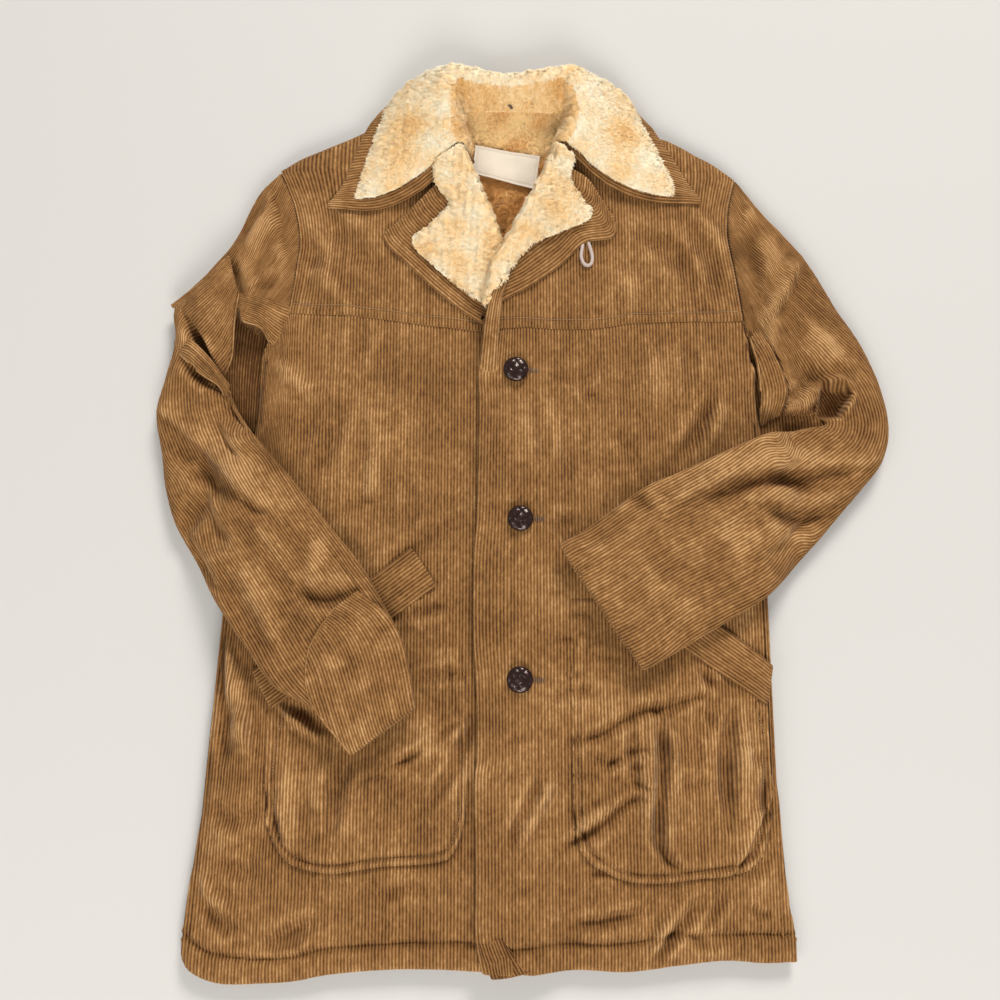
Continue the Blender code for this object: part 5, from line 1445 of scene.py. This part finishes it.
# ---- thread ----
def stitch_run(points, gap, size, radius):
    """Thread lying along points on the cloth: a low arch for each stitch."""
    p = np.asarray(points, float)
    cut = np.concatenate([[0], np.cumsum(np.linalg.norm(np.diff(p, axis=0), axis=1))])
    starts = np.arange(0.6, cut[-1] - size, gap)
    verts, faces = [], []
    sides = 5
    for k, s in enumerate(starts):
        ss = s + np.linspace(0, size, 4)
        path = np.stack([np.interp(ss, cut, p[:, c]) for c in range(3)], -1)
        path[:, 2] += np.array([-0.5, 0.35, 0.35, -0.5]) * radius * 2 + radius * 0.6
        d = path[-1] - path[0]
        d /= max(np.linalg.norm(d), 1e-6)
        n1 = np.cross(d, [0, 0, 1.0])
        n1 /= max(np.linalg.norm(n1), 1e-6)
        n2 = np.cross(n1, d)
        base = len(verts) * 1
        for q in path:
            for a in range(sides):
                c, sn = math.cos(2 * math.pi * a / sides), math.sin(2 * math.pi * a / sides)
                verts.append(q + radius * (n1 * c + n2 * sn))
        for r in range(3):
            for a in range(sides):
                b = (a + 1) % sides
                faces.append((base + r * sides + a, base + r * sides + b, base + (r + 1) * sides + b, base + (r + 1) * sides + a))
        for r in (0, 3):
            o = base + r * sides
            ring = [o + a for a in range(sides)]
            ring = ring[::-1] if r == 0 else ring
            faces.append((ring[0], ring[1], ring[2], ring[2]))
            faces.append((ring[0], ring[2], ring[3], ring[3]))
            faces.append((ring[0], ring[3], ring[4], ring[4]))
    v = np.array(verts)
    return [v, np.array(faces), np.zeros((len(v), 2)), np.zeros(len(v))]


def build_thread(pockets):
    runs = []
    for yoke, left, x0, x1 in ((YOKE_RIGHT, False, -214, -22), (YOKE_LEFT, True, 0, 246)):
        xs = np.linspace(x0, x1, 300)
        runs.append(stitch_run(lift(np.stack([xs, along(yoke, xs) + 9.5], -1), cloth(xs, along(yoke, xs) + 9.5, left)[0] + 0.5), 3.1, 2.3, 0.33))
    for side, left in (("right", False), ("left", True)):
        path = fine(pockets["path_" + side], 500)
        inner = path.mean(0)
        d = inner - path
        tang = np.gradient(path, axis=0)
        nrm = np.stack([-tang[:, 1], tang[:, 0]], -1)
        nrm /= np.linalg.norm(nrm, axis=1, keepdims=True)
        nrm *= np.sign(np.sum(nrm * d, 1))[:, None]
        q = path + nrm * 6.6
        keep = q[:, 1] < (10 if left else 6)
        q = q[keep]
        runs.append(stitch_run(lift(q, cloth(q[:, 0], q[:, 1], left)[0] + 1.5 + float(pipe_of(np.array(6.6))) + 0.35), 3.0, 2.2, 0.34))
    thread = put("topstitch_thread", runs, THREAD, clean=False)
    # worked ends of the buttonholes
    bars = []
    for name, x, y in BUTTONS:
        for k in range(7):
            px = x + BUTTON_R - 1 + k * 1.9
            pts = np.array([[px, y - 2.4, 0], [px + 0.2, y + 2.4, 0]])
            p = pts[0] + np.linspace(0, 1, 5)[:, None] * (pts[1] - pts[0])
            p[:, 2] = cloth(p[:, 0], p[:, 1], True)[0] + 0.9
            bars.append(stitch_run(np.vstack([p[:1] - [0, 0.7, 0], p, p[-1:] + [0, 0.7, 0]]), 9, 4.6, 0.55))
    seam = curve(ARM_LEFT)(np.linspace(0.12, 0.97, 240)) - [1.6, 0]
    bars.append(stitch_run(lift(seam, cloth(seam[:, 0], seam[:, 1], True)[0] + 0.6), 3.6, 2.0, 0.42))
    knot = np.array([at(px, py, 27.5) for px, py in ((508, 106), (510, 108), (513, 110), (515, 113))])
    for dx, dz in ((0, 0), (0.9, 0.7), (-0.8, 1.1)):
        bars.append(stitch_run(lift(knot + [dx, 0.4 * dx], np.linspace(30.0, 27.0, 4) + dz), 99, 5.5, 0.75))
    hole = put("seam_thread", bars, DARK_THREAD, clean=False)
    return [thread, hole]


# ---- buttons, loop, label ----
def build_buttons():
    made = {}
    for name, x, y in BUTTONS:
        lo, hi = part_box(name)
        z0, high = lo.z * 1000, (hi.z - lo.z) * 1000
        rad, turn = 32, 64
        verts, tones = [], []
        for i in range(rad + 1):
            f = i / rad
            for k in range(turn):
                a = 2 * math.pi * k / turn
                ex, ey = f * math.cos(a), f * math.sin(a)
                # strips of leather crossing over and under
                gx, gy = (ex * math.cos(0.6) + ey * math.sin(0.6)) * 1.55 + 0.5, (-ex * math.sin(0.6) + ey * math.cos(0.6)) * 1.55 + 0.5
                cx, cy = gx - math.floor(gx) - 0.5, gy - math.floor(gy) - 0.5
                over = (math.floor(gx) + math.floor(gy)) % 2 == 0
                p, q = (cx, cy) if over else (cy, cx)
                strip = math.sqrt(max(0.0, 1 - (2 * q) ** 2)) * (0.75 + 0.25 * math.cos(2 * math.pi * p))
                dome = math.sqrt(max(0.0, 1 - (0.93 * f) ** 2.3))
                z = z0 + high * (0.26 + 0.56 * dome) + 1.35 * strip * (1 - 0.5 * f**6) - 0.3
                verts.append((x + BUTTON_R * 0.97 * ex, y + BUTTON_R * 0.97 * ey, min(z, z0 + high + 0.6)))
                tones.append(0.15 + 0.75 * strip)
        for f, h in ((1.0, 0.30), (0.99, 0.16), (0.90, 0.05), (0.6, 0.0), (0.0, 0.0)):
            for k in range(turn):
                a = 2 * math.pi * k / turn
                verts.append((x + BUTTON_R * f * math.cos(a), y + BUTTON_R * f * math.sin(a), z0 + high * h))
                tones.append(0.2)
        rings = rad + 6
        ids = np.arange(rings * turn).reshape(rings, turn)
        faces = np.stack([ids[:-1], ids[1:], np.roll(ids, -1, 1)[1:], np.roll(ids, -1, 1)[:-1]], -1).reshape(-1, 4)
        v = np.array(verts)
        made[name] = put(name + "_woven", [[v, faces, np.zeros((len(v), 2)), np.array(tones)]], LEATHER)
        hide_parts(name)
    return made


def build_loop():
    path = curve([(86.8, 485)] + LOOP + [(92.1, 485)])(evenly(60))
    z = body_top(path[:, 0], path[:, 1]) + LAY + LOOP_R - np.interp(path[:, 1], [478, 485], [0, 1.2])
    p = lift(path, z)
    tang = np.gradient(p, axis=0)
    tang /= np.linalg.norm(tang, axis=1, keepdims=True)
    side = np.cross(tang, [0, 0, 1.0])
    side /= np.linalg.norm(side, axis=1, keepdims=True)
    upv = np.cross(side, tang)
    n = 16
    ang = np.arange(n) / n * 2 * math.pi
    turnk = np.arange(60)[:, None] * 0.55
    bead = LOOP_R * (0.93 + 0.09 * np.cos(3 * (ang[None, :] + turnk)))
    v = p[:, None] + bead[..., None] * (np.cos(ang)[None, :, None] * side[:, None] + np.sin(ang)[None, :, None] * upv[:, None])
    ids = np.arange(60 * n).reshape(60, n)
    faces = np.stack([ids[:-1], np.roll(ids, -1, 1)[:-1], np.roll(ids, -1, 1)[1:], ids[1:]], -1).reshape(-1, 4)
    caps = [(r[0], r[k], r[k + 1], r[k + 1]) for r in (ids[0][::-1], ids[-1]) for k in range(1, n - 1)]
    ob = put("lapel_loop_cord", [[v.reshape(-1, 3), np.vstack([faces, np.array(caps)]), np.zeros((60 * n, 2)), np.zeros(60 * n)]], CORD_MAT)
    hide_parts("lapel_loop")
    return ob


def build_label():
    a, b, c, d = [np.array(q, float) for q in LABEL]
    u, v = evenly(70), evenly(40)
    plan = np.array([[(a * (1 - s) + b * s) * (1 - t) + (d * (1 - s) + c * s) * t for t in v] for s in u])
    x, y = plan[..., 0], plan[..., 1]
    z = BACK_WALL + 0.3 + LINING + 3.2 + 0.9 * wobble(x, y, 40, 121) + 0.4 * wobble(x, y, 14, 122)
    edge = np.minimum(np.minimum(u, 1 - u)[:, None] * 68, np.minimum(v, 1 - v)[None, :] * 34)
    z = z - 0.5 * np.exp(-(((edge - 2.4) / 0.8) ** 2)) + 0.4 * np.exp(-((edge / 1.2) ** 2))
    weave = 0.06 * np.sin(u * 70 * 2.2)[:, None] * np.sin(v * 34 * 2.2)[None, :]
    lab = put("neck_label_cloth", [shell(lift(plan, z + weave), np.zeros(70), np.zeros((70, 40)), rib=0, rim=0.5, tuck=1.0)], LABEL_MAT)
    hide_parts("neck_label")
    ring = np.array([(a * (1 - s) + b * s) * (1 - t) + (d * (1 - s) + c * s) * t for s, t in
                     [(k / 40 * 0.93 + 0.035, 0.07) for k in range(41)] + [(0.965, 0.07 + k / 20 * 0.86) for k in range(21)] +
                     [(0.965 - k / 40 * 0.93, 0.93) for k in range(41)] + [(0.035, 0.93 - k / 20 * 0.86) for k in range(21)]])
    zr = BACK_WALL + 0.3 + LINING + 3.2 + 0.9 * wobble(ring[:, 0], ring[:, 1], 40, 121) + 0.4 * wobble(ring[:, 0], ring[:, 1], 14, 122) - 0.25
    sew = put("label_thread", [stitch_run(lift(ring, zr), 2.6, 1.8, 0.25)], LABEL_MAT, clean=False)
    return lab, sew


# ---- everything, in order ----
CLOUDS = part_clouds()
PART_LAID = list(CLOUDS)
for shape, welt, k in ((POCKET_RIGHT, WELT_RIGHT, 0), (POCKET_LEFT, WELT_LEFT, 1)):
    a, b, c, d = welt
    for edges, thick in (([shape[q] for q in ("lower", "upper", "outer", "inner")], PATCH_WALL),
                         ([[d, c], [a, b], [d, a], [c, b]], WELT_WALL)):
        g = patch(*edges, evenly(24), evenly(24))
        PART_LAID.append(lift(g, seat(g, CLOUDS[k], 14.0) + LAY + thick).reshape(-1, 3))

front_right, front_left = build_fronts()
yoke_right, yoke_left = build_yokes()
back = build_back()
pockets = build_pockets()
lapels = build_lapels()
under_collar = build_collar()
piles = build_pile()
sleeves = build_sleeves()
threads = build_thread(pockets)
buttons = build_buttons()
loop = build_loop()
label, label_thread = build_label()


# each sheet: node, slot, width and length of the cut that shows, m, its area, m2, how it is held, what it lies on, what goes with it
SHEETS = [
    (front_right, "front_right", "corduroy", (0.337, 0.661), 0.195, "laid", ["back_cloth"], threads),
    (front_left, "front_left", "corduroy", (0.302, 0.640), 0.188, "laid", ["front_right_cloth"], []),
    (yoke_right, "yoke_right", "corduroy", (0.257, 0.265), 0.0460, "laid", ["back_cloth"], []),
    (yoke_left, "yoke_left", "corduroy", (0.266, 0.270), 0.0485, "laid", ["back_cloth"], []),
    (back, "back", "corduroy", (0.576, 0.886), 0.430, "laid", ["floor"], []),
    (pockets["pocket_right"], "pocket_right", "corduroy", (0.192, 0.263), 0.0385, "laid", ["front_right_cloth"], []),
    (pockets["pocket_left"], "pocket_left", "corduroy", (0.192, 0.272), 0.0410, "laid", ["front_left_cloth"], []),
    (pockets["welt_right"], "welt_right", "corduroy", (0.190, 0.045), 0.0082, "laid", ["pocket_right_cloth"], []),
    (pockets["welt_left"], "welt_left", "corduroy", (0.193, 0.045), 0.0080, "laid", ["pocket_left_cloth"], []),
    (lapels["lapel_right"], "lapel_right", "corduroy", (0.113, 0.172), 0.0140, "folded", ["yoke_right_cloth"], []),
    (lapels["lapel_left"], "lapel_left", "corduroy", (0.115, 0.191), 0.0165, "folded", ["yoke_left_cloth"], []),
    (under_collar, "under_collar", "corduroy", (0.565, 0.130), 0.0500, "folded", ["yoke_right_cloth", "yoke_left_cloth"], []),
    (sleeves["sleeve_right"], "sleeve_right", "corduroy", (0.493, 0.715), 0.172, "folded", ["front_right_cloth"], []),
    (sleeves["sleeve_left"], "sleeve_left", "corduroy", (0.540, 0.681), 0.165, "folded", ["front_left_cloth"], []),
    (piles["collar_facing"], "collar_facing", "pile", (0.519, 0.100), 0.0370, "folded", ["under_collar_cloth"], [piles["collar_strands"]]),
    (piles["lapel_facing_right"], "lapel_facing_right", "pile", (0.110, 0.165), 0.0115, "folded", ["lapel_right_cloth"], [piles["lapel_strands_right"]]),
    (piles["lapel_facing_left"], "lapel_facing_left", "pile", (0.105, 0.175), 0.0108, "folded", ["lapel_left_cloth"], [piles["lapel_strands_left"]]),
    (piles["neck_lining"], "neck_lining", "lining_pile", (0.115, 0.175), 0.0130, "laid", ["back_cloth"], [piles["neck_strands"]]),
    (label, "neck_label", "label", (0.0685, 0.036), 0.00240, "laid", ["neck_lining_pile"], [label_thread]),
]
for ob, node, slot, flat, area, held, on, along_with in SHEETS:
    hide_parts(node)

# ---- floor, light, camera ----
me = bpy.data.meshes.new("floor")
me.from_pydata([(-4, -4, 0), (4, -4, 0), (4, 4, 0), (-4, 4, 0)], [], [(0, 1, 2, 3)])
floor = bpy.data.objects.new("floor", me)
bpy.context.scene.collection.objects.link(floor)
m, t, b = nodes_of("floor_pale")
b.inputs["Base Color"].default_value = (0.53, 0.52, 0.50, 1)
b.inputs["Roughness"].default_value = 0.8
me.materials.append(m)


def area_light(name, place, target, size, power, colour):
    data = bpy.data.lights.new(name, "AREA")
    data.shape, data.size, data.size_y, data.energy, data.color = "RECTANGLE", size[0], size[1], power, colour
    ob = bpy.data.objects.new(name, data)
    bpy.context.scene.collection.objects.link(ob)
    ob.location = place
    d = np.array(target) - np.array(place)
    ob.rotation_euler = Vector(d).to_track_quat("-Z", "Y").to_euler()
    return ob


area_light("key", (1.15, 4.1, 2.85), (0, 0, 0), (1.7, 1.5), 262.0, (1.0, 0.965, 0.92))
area_light("fill", (-2.2, -1.6, 2.6), (0, -0.2, 0), (2.2, 2.2), 38.0, (1.0, 0.985, 0.96))
area_light("low_fill", (0.5, -3.2, 2.3), (0, -0.25, 0), (2.4, 1.6), 130.0, (1.0, 0.98, 0.95))
world = bpy.data.worlds.new("studio")
world.use_nodes = True
world.node_tree.nodes["Background"].inputs[0].default_value = (1.0, 0.985, 0.965, 1)
world.node_tree.nodes["Background"].inputs[1].default_value = 0.33
bpy.context.scene.world = world
bpy.context.scene.view_settings.view_transform = "Standard"

cam = bpy.data.cameras.new("camera")
cam.sensor_width, cam.lens = 36.0, 39.6
camera = bpy.data.objects.new("camera", cam)
bpy.context.scene.collection.objects.link(camera)
camera.location = (-MIDDLE[0] * 0.001, -MIDDLE[1] * 0.001, HIGH * 0.001)
camera.rotation_euler = (TILT, 0, 0)
bpy.context.scene.camera = camera
